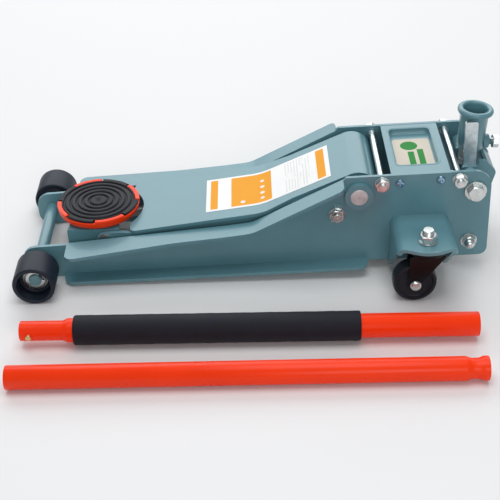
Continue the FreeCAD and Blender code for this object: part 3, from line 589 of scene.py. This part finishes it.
def moulded(name, colour, roughness=0.5, grain=0.0001, scale=1400.0, sheen=0.0):
    """Rubber, foam or nylon: matt, finely pitted, with scuffs."""
    mix = Mixture(name, colour, roughness, specular=0.22)
    if sheen:
        mix.set("Sheen Weight", sheen)
        mix.set("Sheen Roughness", 0.5)
    cloud = mix.noise(30.0, 5.0, 0.6)
    tone = mix.blend(mix.spread(cloud, 0.3, 0.75), mix.shade(0.75), mix.shade(1.6))
    scuff = mix.spread(mix.noise(220.0, 5.0, 0.75, mix.mapped((0.3, 1.0, 1.0))), 0.62, 0.74)
    tone = mix.blend(mix.times(scuff, 0.10), tone, (0.16, 0.165, 0.17, 1.0))
    mix.colour_from(tone)
    mix.roughness_from(mix.maths("ADD", mix.spread(cloud, 0.3, 0.7, roughness - 0.06, roughness + 0.07),
                                 mix.times(scuff, 0.08)))
    mix.bump(mix.cells(scale), grain, 0.5)
    mix.bump(mix.noise(scale * 0.5, 4.0, 0.7), grain, 0.35)
    return mix.material


def casting(name, colour):
    """Painted rough casting."""
    mix = Mixture(name, colour, 0.5, coat=0.1)
    lump = mix.noise(260.0, 5.0, 0.65)
    mix.colour_from(mix.blend(mix.spread(lump, 0.3, 0.7), mix.shade(0.8), mix.shade(1.25)))
    mix.roughness_from(mix.spread(lump, 0.3, 0.7, 0.42, 0.62))
    mix.bump(lump, 0.0004, 0.5)
    return mix.material


def arm_label(name, paper, block):
    """White film with plain orange blocks and rows of thin grey rules."""
    mix = Mixture(name, paper, 0.45, specular=0.15)
    x, y = mix.axes()
    start = chassis(246, 0, 49).x
    run = chassis(428, 0, 100).x - start
    middle = AXLE.y
    inside = mix.band(y, middle - 0.0395, middle + 0.0395)
    tone = mix.blend(mix.spread(mix.noise(20.0, 3.0), 0.3, 0.7), mix.shade(0.96), mix.shade(1.03))
    rules = mix.maths("GREATER_THAN", mix.maths("SINE", mix.times(x, math.tau / 0.0042)), 0.2)
    ragged = mix.maths("GREATER_THAN", mix.noise(60.0, 1.0, 0.5, mix.mapped((4.0, 0.5, 0.0))), 0.40)
    column = mix.band(x, start + run * 0.64, start + run * 0.855)
    lines = mix.times(mix.times(rules, ragged), mix.times(column, inside))
    tone = mix.blend(mix.times(lines, 0.22), tone, (0.25, 0.25, 0.26, 1.0))
    blocks = mix.any_of([mix.band(x, start + run * low, start + run * high)
                         for low, high in ((0.035, 0.095), (0.205, 0.535), (0.90, 0.965))])
    tone = mix.blend(mix.times(blocks, inside), tone, tuple(block) + (1.0,))
    dots = ((0.46, -0.028, 0.0030), (0.46, -0.014, 0.0034), (0.46, 0.002, 0.0034), (0.46, 0.018, 0.0030),
            (0.30, -0.030, 0.0036))
    marks = mix.any_of([mix.disc(x, y, start + run * reach, middle + across, size) for reach, across, size in dots])
    tone = mix.blend(mix.times(marks, 0.8), tone, tuple(paper) + (1.0,))
    mix.colour_from(tone)
    mix.film()
    return mix.material


def tray_label(name):
    """Cream film with a plain green disc and two plain green bars."""
    mix = Mixture(name, (0.60, 0.55, 0.46), 0.45, specular=0.15)
    x, y = mix.axes()
    centre = chassis(550, -2, 105)
    tone = mix.blend(mix.spread(mix.noise(25.0, 3.0), 0.3, 0.7), mix.shade(0.95), mix.shade(1.05))
    disc = mix.disc(x, y, centre.x - 0.004, centre.y + 0.021, 0.0125)
    bar_one = mix.times(mix.band(x, centre.x - 0.008, centre.x + 0.001),
                        mix.band(y, centre.y - 0.034, centre.y + 0.004))
    bar_two = mix.times(mix.band(x, centre.x + 0.006, centre.x + 0.015),
                        mix.band(y, centre.y - 0.034, centre.y + 0.010))
    mix.colour_from(mix.blend(mix.any_of([disc, bar_one, bar_two]), tone, (0.008, 0.22, 0.03, 1.0)))
    mix.film()
    return mix.material


MADE = {}  # materials made so far, by key


def finish_of(key):
    """Material by name, made once."""
    if key in MADE:
        return MADE[key]
    c = settings()[0]
    makers = {
        "enamel": lambda: enamel("teal_grey_enamel", c.enamel),
        "saddle": lambda: enamel("orange_saddle_enamel", c.saddle, 0.30, 0.0, 0.04, specular=0.3),
        "handle": lambda: enamel("orange_powder_coat", c.handle, 0.30, 0.0, 0.02, 0.0002, 0.25),
        "roller": lambda: enamel("blue_black_roller_paint", c.roller, 0.46, 0.0, 0.04, 0.0002, 0.3),
        "caster": lambda: enamel("gloss_black_enamel", c.caster, 0.34, 0.0, 0.02, specular=0.22),
        "zinc": lambda: plated("bright_zinc", c.zinc, 0.24),
        "blue_zinc": lambda: plated("blue_zinc", (0.30, 0.46, 0.60), 0.22, stain=0.1),
        "galvanised": lambda: plated("galvanised_bar", (0.74, 0.80, 0.83), 0.34, (1.0, 1.0, 0.06), 0.1),
        "turned": lambda: plated("turned_steel", (0.66, 0.64, 0.65), 0.46, (1.0, 0.05, 1.0), 0.05, 0.7),
        "rod_zinc": lambda: plated("tie_rod_plate", (0.66, 0.74, 0.76), 0.28, (1.0, 0.05, 1.0), 0.1),
        "ground": lambda: plated("ground_steel", (0.66, 0.67, 0.68), 0.14, (0.05, 1.0, 1.0), 0.05),
        "brass": lambda: plated("yellow_zinc", (0.78, 0.58, 0.26), 0.30),
        "spring": lambda: plated("spring_wire", (0.30, 0.31, 0.33), 0.32),
        "rubber": lambda: moulded("saddle_rubber", c.rubber, 0.46, 0.00015, 900.0),
        "foam": lambda: moulded("foam_sleeve", c.foam, 0.62, 0.00035, 650.0, 0.03),
        "nylon": lambda: moulded("caster_nylon", (0.012, 0.014, 0.020), 0.32, 0.00008, 1500.0),
        "cast": lambda: casting("painted_casting", (0.05, 0.085, 0.10)),
        "arm_label": lambda: arm_label("arm_label_film", c.label_paper, c.label_block),
        "tray_label": lambda: tray_label("tray_label_film"),
        "floor": lambda: Mixture("studio_floor", (0.80, 0.80, 0.80), 0.8, specular=0.1).material,
    }
    MADE[key] = makers[key]()
    return MADE[key]


SLOT_FINISH = {
    "frame_paint": "enamel", "saddle_paint": "saddle", "saddle_rubber": "rubber", "wheel_paint": "roller",
    "caster_black": "caster", "caster_tread": "nylon", "zinc_plate": "zinc", "bare_steel": "turned",
    "polished_steel": "ground", "cast_block": "cast", "spring_steel": "spring", "handle_paint": "handle",
    "brass_pin": "brass", "foam_sleeve": "foam", "label_film": "arm_label",
}
NODE_SLOT = {item["node"]: item["material_slot"] for item in frame["record"]["subparts"]}
NODE_FINISH = {node: SLOT_FINISH[slot] for node, slot in NODE_SLOT.items()}
NODE_FINISH.update({"cover_label": "tray_label", "cover_screws": "blue_zinc", "front_tie_rod": "rod_zinc",
                    "rear_tie_rod": "rod_zinc", "yoke_bars": "galvanised"})


# --- operators -----------------------------------------------------------------------------------


class Piece(bpy.types.Operator):
    """Base of the operators that each finish one piece or group."""

    bl_idname = "jack.piece"
    bl_label = "Piece"
    bl_options = {"REGISTER", "UNDO"}

    def execute(self, context):
        if bpy.context.mode != "OBJECT":
            bpy.ops.object.mode_set(mode="OBJECT")
        bpy.ops.object.select_all(action="DESELECT")
        self.make()
        return {"FINISHED"}


class JACK_OT_finishes(Piece):
    """Give every CAD piece its enamel, plate, rubber or film"""

    bl_idname = "jack.finishes"
    bl_label = "Finishes"

    def make(self):
        for node, obj in NODES.items():
            coated(obj, NODE_FINISH[node])


class JACK_OT_plates(Piece):
    """Round the cut edges of the plates, brackets and arm"""

    bl_idname = "jack.plates"
    bl_label = "Plates"

    def make(self):
        edge = settings()[1].edge
        plates = ("side_plate_left", "side_plate_right", "arm_top_plate", "arm_cheek_left", "arm_cheek_right",
                  "caster_bracket_left", "caster_bracket_right", "unit_cover", "yoke_fork", "yoke_bars",
                  "saddle_bracket", "ram_levers", "levelling_rod_left", "levelling_rod_right", "pump_block")
        wider = {"arm_top_plate": 1.3, "caster_bracket_left": 1.6, "caster_bracket_right": 1.6, "unit_cover": 0.7,
                 "yoke_bars": 0.8, "pump_block": 1.6}
        for node in plates:
            piece = soft_copy(node, edge * wider.get(node, 1))
            dressed(piece, NODES[node]["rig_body"], NODE_FINISH[node], [node])


class JACK_OT_fasteners(Piece):
    """Nuts, washers, bolts and screws with chamfers and threads"""

    bl_idname = "jack.fasteners"
    bl_label = "Fasteners"

    def make(self):
        for name, places, maker, node, key, slot in (
                ("tie_rod_nut_set", [(497.2, 101.8, 10), (605.2, 101.8, 40)], self.tie_nut, "tie_rod_nuts", "zinc",
                 "zinc_plate"),
                ("yoke_bolt_heads", [YOKE + (20,)], self.yoke_bolt, "yoke_bolts", "zinc", "zinc_plate"),
                ("link_anchor_nuts", [(433, 55, 15)], self.anchor_nut, "link_anchors", "zinc", "zinc_plate"),
                ("rear_dome_nut_set", [REAR_BOLT + (0,)], self.dome_nut, "rear_dome_nuts", "zinc", "zinc_plate"),
                ("cover_screw_heads", [(522, 100, 0), (579, 102.5, 25)], self.button, "cover_screws", "blue_zinc",
                 "zinc_plate"),
                ("pivot_shaft_turned", [PIVOT + (0,)], self.shaft_half, "pivot_shaft", "turned", "bare_steel")):
            made = []
            for x, z, turn in places:
                master = maker()
                for _, side, axis in SIDES:
                    at = along(axis, chassis(x, PLATE_FACE * side, z))
                    made.append(set_down(copied(master, name), at @ turned(turn)))
                bpy.data.objects.remove(master)
            dressed(smooth(joined(made, name), 20), "chassis", key, [node])
        for name, side, _ in SIDES:
            stem = lathe("stem", [(0, 71), (11, 71), (12, 72), (12, 76), (8, 76.4), (8, 106), (0, 106)], 48)
            parts = [washer("w", 13, 7.9, 93.9, 96.0), chamfered_hex("n", 22, 96.0, 106.5, True, True, 0.3),
                     stud_end("s", 8.0, 105.0, 113.5), washer("race", 25, 8.2, 86.2, 88.3), stem]
            placed(joined(parts, "caster_stem_nut_" + name), stem_place(side), 20, "caster_swivel_" + name, "zinc",
                   ["caster_stem_" + name])

    def tie_nut(self):
        return joined([washer("w", 10.5, 5, 0.02, 2), chamfered_hex("n", 17, 2, 10.5, True, True),
                       stud_end("s", 5.2, 8, 14.2)], "tie_nut")

    def yoke_bolt(self):
        shank = lathe("shank", [(0, -56), (7.2, -56), (8, -55.2), (8, 1), (0, 1)], 40)
        return joined([washer("w", 15.5, 7, 0.02, 3.1), chamfered_hex("h", 22, 3, 12, True, False), shank], "yoke_bolt")

    def anchor_nut(self):
        shank = lathe("shank", [(0, -41), (5.4, -41), (6, -40.4), (6, -28.6), (8, -28.6), (8, -5), (6, -5), (6, 8.5),
                                (0, 8.5)], 40)
        return joined([washer("w", 11.5, 5, 0.02, 1.8), chamfered_hex("n", 19, 1.8, 9, True, True),
                       stud_end("s", 6.0, 8, 12.0), shank], "anchor_nut")

    def dome_nut(self):
        cap = lathe("cap", [(0, 7), (8.2, 7), (8.2, 8.5)] + arc((0, 8.5), 8.2, 0, 90, 8)[1:-1] + [(0, 15.0)], 48)
        return joined([washer("w", 12, 6, 0.02, 2), chamfered_hex("n", 18, 2, 8, True, False), cap], "dome_nut")

    def button(self):
        return lathe("head", [(0, -11.4), (2.4, -11.4), (3, -10.8), (3, 0.02), (6.1, 0.02), (6.1, 1.0), (5.6, 2.2),
                              (4.6, 3.1), (3.2, 3.6), (2.2, 3.65), (1.9, 3.2), (1.9, 1.9), (0, 1.9)], 48)

    def shaft_half(self):
        return lathe("end", [(0, -75), (12.5, -75), (12.5, 8.2), (11.9, 8.8), (11.2, 9.0), (1.6, 9.0), (0.6, 8.2),
                             (0, 8.1)], 72)


class JACK_OT_tray(Piece):
    """Pressed tray of the unit cover with rounded shoulders"""

    bl_idname = "jack.tray"
    bl_label = "Cover tray"

    def make(self):
        bpy.ops.mesh.primitive_plane_add(size=1)
        tray = added("cover_tray_pressed")
        tray.scale = (0.0672, 0.1112, 1)
        bake_place()
        edit_all()
        bpy.ops.mesh.bevel(offset=0.0115, segments=10, affect="VERTICES")
        bpy.ops.mesh.select_all(action="SELECT")
        for inward, rise in ((0.9, 0.35), (0.9, 0.1), (0.9, -0.5), (0.7, -1.2), (0.5, -2.0), (0.5, -2.2), (0.8, -1.6),
                             (1.2, -0.8), (1.5, -0.15)):
            bpy.ops.mesh.inset(thickness=inward / 1000, depth=0, use_boundary=True)
            bpy.ops.transform.translate(value=(0, 0, rise / 1000))
        bpy.ops.object.mode_set(mode="OBJECT")
        apply_modifier(tray, "SOLIDIFY", thickness=0.0003, offset=-1)
        tidy(tray)
        placed(tray, along("+Z", chassis(550, 5, 113.05)), 60, "chassis", "enamel")


class JACK_OT_saddle(Piece):
    """Swivelling saddle: pressed dish with four lugs and a ribbed rubber pad"""

    bl_idname = "jack.saddle"
    bl_label = "Saddle"
    corners = (22, 112, 202, 292)  # where the lugs stand, in degrees

    def make(self):
        place = Matrix.Translation(level(84, 0, 0))
        dish = lathe("dish", [(0, 48.2), (11.4, 48.2), (12, 48.8), (12, 70), (40, 70), (52, 70.6), (57.5, 73),
                              (59.6, 76.5), (60.5, 81.4), (60.4, 82.5), (59.8, 83.2), (58.6, 83.3), (57.9, 82.9),
                              (57.4, 79), (56.8, 75.1), (0, 75.1)], steps=128)
        placed(dish, place, 50, "saddle", "saddle", ["saddle_dish"])
        self.lugs(place)
        self.pad(place)

    def lugs(self, place):
        """Four raised orange lugs of the rim."""
        profile = [(57.2, 76), (60.5, 81.2), (60.8, 84.4), (60.3, 85.7), (59.2, 86.1), (55.4, 86.1), (54.4, 85.6),
                   (54.1, 84.4), (54.1, 76)]
        made = []
        for corner in self.corners:
            lug = sector("lug", profile, 43)
            bevelled(lug, 0.0006, 2, 50)
            made.append(set_down(lug, place @ turned(corner)))
        dressed(smooth(joined(made, "saddle_lugs"), 40), "saddle", "saddle")

    def pad(self, place):
        """Rubber pad with crowned ring ribs, a lip over the rim and four notches that clear the lugs."""
        rib = settings()[1].groove * 1000
        profile = [(0, 75.2), (57.0, 75.2), (57.0, 83.5), (59.2, 83.5), (59.7, 84.0), (59.8, 85.0), (59.3, 85.9),
                   (58.3, 86.3), (55.5, 86.4)]
        radius = 50.0
        groove = [(2.4, 86.3), (1.7, 85.9), (1.3, 84.9), (0.9, 84.4)]
        while radius > 9:
            profile += [(radius + out, height) for out, height in groove]
            profile += [(radius - out, height) for out, height in reversed(groove)] + [(radius - 4.5, 86.5)]
            radius -= rib
        profile += [(3.0, 86.3), (2.2, 85.6), (0, 85.5)]
        pad = lathe("saddle_pad_ribbed", profile, steps=144)
        for corner in self.corners:
            cut(pad, set_down(sector("cutter", [(53.6, 70), (64, 70), (64, 90), (53.6, 90)], 48), turned(corner)))
        placed(pad, place, 40, "saddle", "rubber", ["saddle_pad"])


class JACK_OT_rollers(Piece):
    """Front rollers with a deep recess, and their retaining washers and clips"""

    bl_idname = "jack.rollers"
    bl_label = "Front rollers"

    def make(self):
        for name, side, _ in SIDES:
            profile = [(9.05, 88.4), (19, 88.4), (21, 89.5), (23, 91.4), (26, 91.4), (27, 88.6)]
            profile += arc((27.7, 91.0), 2.5, -90, 0, 5) + arc((27.7, 135.3), 2.5, 0, 90, 5)
            profile += arc((25.4, 136.4), 1.4, 90, 180, 4) + [(23.6, 122)] + arc((20.4, 119.2), 3.2, 0, -90, 5)
            profile += [(9.05, 116)]
            wheel = lathe("front_roller_" + name, profile, steps=128, closed=True)
            at = Matrix.Translation(level(0, 0, ROLLER_HEIGHT)) @ Matrix.Rotation(-side * QUARTER, 4, "X")
            placed(wheel, at, 30, "roller_" + name, "roller", ["front_wheel_" + name])
        made = []
        ends = []
        for _, _, axis in SIDES:
            axle = along(axis, chassis(0, 0, 0))
            disc = washer("disc", 17.5, 9.0, 116.4, 118.3)
            clip = sector("clip", [(9.3, 118.4), (13.6, 118.4), (13.9, 118.8), (13.6, 119.5), (9.3, 119.6)], 290, 40)
            set_down(clip, turned(200))
            made.append(set_down(joined([disc, clip], "clip_set"), axle))
            end = lathe("end", [(0, 119.8), (9.0, 119.8), (9.05, 121.0), (8.2, 122.05), (1.4, 122.05), (0, 121.2)], 48)
            ends.append(set_down(end, axle))
        dressed(smooth(joined(made, "axle_clip_set"), 30), "chassis", "zinc")
        dressed(smooth(joined(ends, "axle_end_faces"), 30), "chassis", "enamel")


class JACK_OT_casters(Piece):
    """Caster forks bent from sheet, their wheels and wheel bolts"""

    bl_idname = "jack.casters"
    bl_label = "Casters"

    def make(self):
        for name, side, axis in SIDES:
            self.fork(name, side)
            self.wheel(name, side)
            self.bolt(name, side, axis)

    def fork(self, name, side):
        """Bent fork: two tapering legs under a round swivel cup."""
        cup = lathe("cup", [(8.0, 76.5), (21, 76.5), (23.5, 78.5), (25.5, 81.5), (27, 82.6), (27, 86.2), (25.6, 87.7),
                            (8.0, 87.7)], 72, closed=True)
        set_down(cup, stem_place(side))
        parts = [cup]
        for inner in (12.5, -15.5):
            bpy.ops.object.select_all(action="DESELECT")
            bpy.ops.mesh.primitive_cylinder_add(vertices=48, radius=0.0105, depth=0.003, rotation=(QUARTER, 0, 0))
            leg = added("leg")
            bake_place()
            for vertex in leg.data.vertices:
                vertex.select = vertex.co.z > 0.0049
            for edge in leg.data.edges:
                edge.select = all(leg.data.vertices[i].select for i in edge.vertices)
            for face in leg.data.polygons:
                face.select = all(leg.data.vertices[i].select for i in face.vertices)
            bpy.ops.object.mode_set(mode="EDIT")
            bpy.ops.transform.translate(value=(0.0150, 0, 0.040))
            bpy.ops.transform.resize(value=(2.75, 1, 0.35), center_override=(0.0150, 0, 0.0475))
            bpy.ops.object.mode_set(mode="OBJECT")
            bevelled(leg, 0.0009, 3, 50)
            parts.append(set_down(leg, Matrix.Translation(wheel_centre(side, inner + 1.5))))
        fork = smooth(joined(parts, "caster_fork_bent_" + name), 40)
        dressed(fork, "caster_swivel_" + name, "caster", ["caster_fork_" + name])

    def wheel(self, name, side):
        """Nylon wheel with a crowned tread, a raised hub and a dished web."""
        half = [(5.1, -11.5), (10.5, -11.5), (11.5, -10.5), (12.5, -8.8), (22.5, -8.2), (24.0, -9.2), (25.0, -11.2),
                (27.5, -11.5), (29.6, -10.4), (30.8, -7.0), (31.0, 0)]
        profile = half + [(radius, -height) for radius, height in reversed(half[:-1])]
        wheel = lathe("caster_tread_" + name, profile, steps=96, closed=True)
        placed(wheel, Matrix.Translation(wheel_centre(side)) @ ONTO_MINUS_Y, 40, "caster_roller_" + name, "nylon",
               ["caster_wheel_" + name])

    def bolt(self, name, side, axis):
        """Wheel bolt: round head outboard and a lock nut inboard."""
        shank = lathe("shank", [(0, -21), (4.4, -21), (5.0, -20.4), (5.0, 16), (0, 16)], 40)
        head = lathe("head", [(0, 15.6), (7.6, 15.6), (7.8, 16.0), (7.8, 17.6), (7.0, 19.0), (5.4, 19.9),
                              (0, 20.2)], 48)
        nut = chamfered_hex("nut", 13, -20.0, -15.6, True, True)
        part = joined([shank, head, nut], "caster_bolt_" + name)
        placed(part, along(axis, wheel_centre(side), False), 20, "caster_swivel_" + name, "zinc",
               ["caster_axle_" + name])


class JACK_OT_socket(Piece):
    """Handle socket: tube with a rolled rim, drilled for its clamp screw, and the screw's boss"""

    bl_idname = "jack.socket"
    bl_label = "Handle socket"

    def make(self):
        lean = Matrix.Rotation(math.radians(5.6) - settings()[1].lean, 4, "Y")
        base = Matrix.Translation(chassis(YOKE[0], 0, YOKE[1])) @ lean
        screw_place = Matrix.Translation((0, 0, 0.038)) @ ONTO_X
        profile = [(17.0, 31.0), (17.6, 30.2), (18.9, 30.2), (19.5, 31.0), (19.5, 80.5), (19.9, 82.2), (21.0, 83.2)]
        profile += arc((21.3, 87.1), 4.2, -70, 90, 9) + [(19.0, 91.2), (17.6, 90.0), (17.0, 87.8)]
        tube = lathe("tube", profile, steps=112, closed=True)
        bpy.ops.mesh.primitive_cylinder_add(vertices=48, radius=0.00515, depth=0.012, location=(0.01825, 0, 0.038),
                                            rotation=(0, QUARTER, 0))
        cut(tube, added("drill"))
        boss = lathe("boss", [(5.1, 17.6), (10.2, 17.6), (10.2, 24.6), (9.4, 25.8), (6.0, 26.2), (5.1, 25.6)], 56, True)
        set_down(boss, screw_place)
        placed(joined([tube, boss], "socket_tube_rolled"), base, 45, "handle_yoke", "enamel",
               ["socket_tube"])
        screw = joined([stud_end("thread", 5.0, 17.3, 33.0), chamfered_hex("head", 16, 32.4, 40.4, True, False),
                        washer("collar", 9.2, 4.0, 31.5, 32.5)], "clamp_screw_hex")
        placed(screw, base @ screw_place, 20, "clamp", "zinc", ["clamp_screw"])


class JACK_OT_springs(Piece):
    """Return springs between the ram lever pin and the lower cross bolt"""

    bl_idname = "jack.springs"
    bl_label = "Return springs"
    end = 0.015  # from an end point to the first coil
    loop = 0.0085  # radius of an end hook
    apart = 0.0325  # from the middle of the jack, between the pump block and a levelling rod

    def make(self):
        sizes = settings()[1]
        pin = chassis(PIVOT[0] + LEVER_REACH * math.sin(LEVER_ANGLE), 0,
                      PIVOT[1] - LEVER_REACH * math.cos(LEVER_ANGLE))
        bolt = chassis(REAR_BOLT[0], 0, REAR_BOLT[1])
        run = bolt - pin
        reach = run.length - 2 * self.end
        turn = run.to_track_quat("Z", "X").to_matrix().to_4x4()
        made = []
        for _, side, _ in SIDES:
            bpy.ops.object.select_all(action="DESELECT")
            bpy.ops.mesh.primitive_circle_add(vertices=10, radius=sizes.spring_wire / 2, fill_type="NOTHING",
                                              location=(sizes.spring_radius, 0, 0), rotation=(QUARTER, 0, 0))
            coil = added("coil")
            bake_place()
            apply_modifier(coil, "SCREW", axis="Z", screw_offset=reach / sizes.spring_turns,
                           iterations=sizes.spring_turns, steps=20, render_steps=20, use_merge_vertices=False)
            set_down(coil, Matrix.Translation((0, 0, self.end)))
            hooks = [self.hook(self.end - 2 * self.loop), self.hook(run.length - self.end + 2 * self.loop)]
            part = joined([coil] + hooks, "spring")
            made.append(set_down(part, Matrix.Translation(pin + Vector((0, self.apart * side, 0))) @ turn))
        springs = smooth(tidy(joined(made, "return_spring_coils")), 60)
        coated(springs, "spring")
        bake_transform(springs)
        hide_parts("return_springs")

    def hook(self, height):
        """Round hook of a spring's end."""
        wire = settings()[1].spring_wire / 2
        bpy.ops.object.select_all(action="DESELECT")
        bpy.ops.mesh.primitive_torus_add(major_segments=40, minor_segments=10, major_radius=self.loop,
                                         minor_radius=wire, rotation=(QUARTER, 0, 0), location=(0, 0, height))
        ring = added("hook")
        bake_place()
        return ring


class JACK_OT_handle(Piece):
    """Two handle halves: padded upper half with its plug and pin, bare lower half with a swaged end"""

    bl_idname = "jack.handle"
    bl_label = "Handle halves"

    def make(self):
        upper = Matrix.Translation(level(-6, -223, 20.5)) @ turned(-1.1) @ ONTO_X
        lower = Matrix.Translation(level(-12, -312, 16)) @ turned(-0.7) @ ONTO_X
        profile = [(10.5, 0.3), (11.0, 0), (12.9, 0), (13.5, 0.7), (13.5, 57), (13.9, 59), (15.6, 62), (16.4, 64)]
        profile += [(16.5, 66), (16.5, 616.2), (16.0, 617), (14.7, 617), (14.2, 616.2), (14.2, 66), (10.5, 60)]
        placed(lathe("upper_tube", profile, steps=80, closed=True), upper, 40, "upper_handle", "handle",
               ["upper_handle_tube"])
        pin = lathe("plug_cross_pin", [(0, -17), (3.2, -17), (3.9, -16.2), (3.9, 16.2), (3.2, 17), (0, 17)], 40)
        placed(pin, upper @ Matrix.Translation((0, 0, 0.013)) @ ONTO_MINUS_Y, 40, "upper_handle", "brass",
               ["handle_pin"])
        self.sleeve(upper)
        profile = [(13.8, 0.6), (14.3, 0), (15.5, 0), (16.0, 0.6), (16.0, 591), (15.7, 593), (14.1, 596.5)]
        profile += [(13.5, 600), (13.5, 607), (14.1, 610), (15.8, 614), (16.0, 616), (16.0, 620.3), (15.4, 621)]
        profile += [(14.3, 621), (13.8, 620.3), (13.8, 616), (11.6, 609), (11.3, 600), (13.6, 593)]
        placed(lathe("lower_tube_swaged", profile, steps=80, closed=True), lower, 40, "lower_handle", "handle",
               ["lower_handle_tube"])

    def sleeve(self, place):
        """Foam sleeve, a little uneven along its length, rolled in at its ends."""
        rings, first, last = 64, 77, 457
        profile = [(16.6, 73.3), (18.0, 73.0), (19.6, 73.5), (20.3, 75.0)]
        for i in range(rings + 1):
            swell = 0.10 * math.sin(i * 0.9) + 0.07 * math.sin(i * 2.3 + 1.0)
            profile.append((20.25 + swell, first + (last - first) * i / rings))
        profile += [(20.3, 457.6), (19.6, 458.6), (18.0, 459.0), (16.6, 458.7)]
        sleeve = lathe("foam_sleeve", profile, steps=72, closed=True)
        placed(sleeve, place, 60, "upper_handle", "foam", ["handle_sleeve"])


class JACK_OT_stage(Piece):
    """Pale floor, soft studio lights and the camera"""

    bl_idname = "jack.stage"
    bl_label = "Studio"

    def make(self):
        bpy.ops.mesh.primitive_plane_add(size=12, location=(0, 0, -0.0002))
        floor = added("studio_floor")
        floor.data.materials.append(finish_of("floor"))
        for name, where, size, power, colour in (
                ("back_panel", (-0.3, 2.6, 2.0), (5.0, 2.2), 80, (0.97, 0.99, 1.0)),
                ("top_light", (0.0, -0.1, 2.4), (1.6, 1.6), 26, (1.0, 1.0, 1.0)),
                ("front_light", (0.4, -2.3, 1.2), (1.4, 0.8), 14, (1.0, 1.0, 1.0))):
            bpy.ops.object.light_add(type="AREA", location=where)
            light = bpy.context.active_object
            light.name = name
            light.data.energy = power
            light.data.shape = "RECTANGLE"
            light.data.size, light.data.size_y = size
            light.data.color = colour
            light.rotation_euler = (Vector((0, 0, 0.05)) - Vector(where)).to_track_quat("-Z", "Y").to_euler()
        world = bpy.data.worlds.new("studio_world")
        bpy.context.scene.world = world
        world.use_nodes = True
        background = world.node_tree.nodes["Background"]
        background.inputs["Color"].default_value = (0.93, 0.96, 1.0, 1.0)
        background.inputs["Strength"].default_value = 0.35
        bpy.context.scene.view_settings.view_transform = "Standard"
        bpy.ops.object.camera_add(location=(-0.00505, -1.30228, 0.95445))
        camera = bpy.context.active_object
        camera.name = "studio_camera"
        turn, drop, roll = math.radians(0.33), math.radians(34.94), math.radians(-1.84)
        ahead = Vector((-math.sin(turn) * math.cos(drop), math.cos(turn) * math.cos(drop), -math.sin(drop)))
        right = Vector((math.cos(turn), math.sin(turn), 0))
        up = right.cross(ahead)
        tilted = right * math.cos(roll) + up * math.sin(roll)
        above = up * math.cos(roll) - right * math.sin(roll)
        camera.rotation_euler = Matrix((tilted, above, -ahead)).transposed().to_euler()
        focal_pixels, picture_pixels, sensor = 1101.09, 500, 36
        camera.data.sensor_width = sensor
        camera.data.lens = sensor * focal_pixels / picture_pixels
        bpy.context.scene.camera = camera


class JACK_PT_panel(bpy.types.Panel):
    """Buttons and settings of the floor jack"""

    bl_idname = "JACK_PT_panel"
    bl_label = "Floor jack"
    bl_space_type = "VIEW_3D"
    bl_region_type = "UI"
    bl_category = "Floor jack"

    def draw(self, context):
        colours, sizes = settings()
        for operator in OPERATORS:
            self.layout.operator(operator.bl_idname)
        for group in (colours, sizes):
            box = self.layout.box()
            for key in group.__annotations__:
                box.prop(group, key)


OPERATORS = (JACK_OT_finishes, JACK_OT_plates, JACK_OT_tray, JACK_OT_fasteners, JACK_OT_saddle, JACK_OT_rollers,
             JACK_OT_casters, JACK_OT_socket, JACK_OT_springs, JACK_OT_handle, JACK_OT_stage)
CLASSES = (JackColours, JackSizes) + OPERATORS + (JACK_PT_panel,)


def register():
    """Add the jack's settings, operators and panel."""
    for item in CLASSES:
        bpy.utils.register_class(item)
    bpy.types.Scene.jack_colours = bpy.props.PointerProperty(type=JackColours)
    bpy.types.Scene.jack_sizes = bpy.props.PointerProperty(type=JackSizes)


def unregister():
    """Take them away again."""
    del bpy.types.Scene.jack_colours
    del bpy.types.Scene.jack_sizes
    for item in reversed(CLASSES):
        bpy.utils.unregister_class(item)


def main():
    """Build every piece in order."""
    register()
    for operator in OPERATORS:
        group, action = operator.bl_idname.split(".")
        getattr(getattr(bpy.ops, group), action)()


if __name__ == "__main__":
    main()
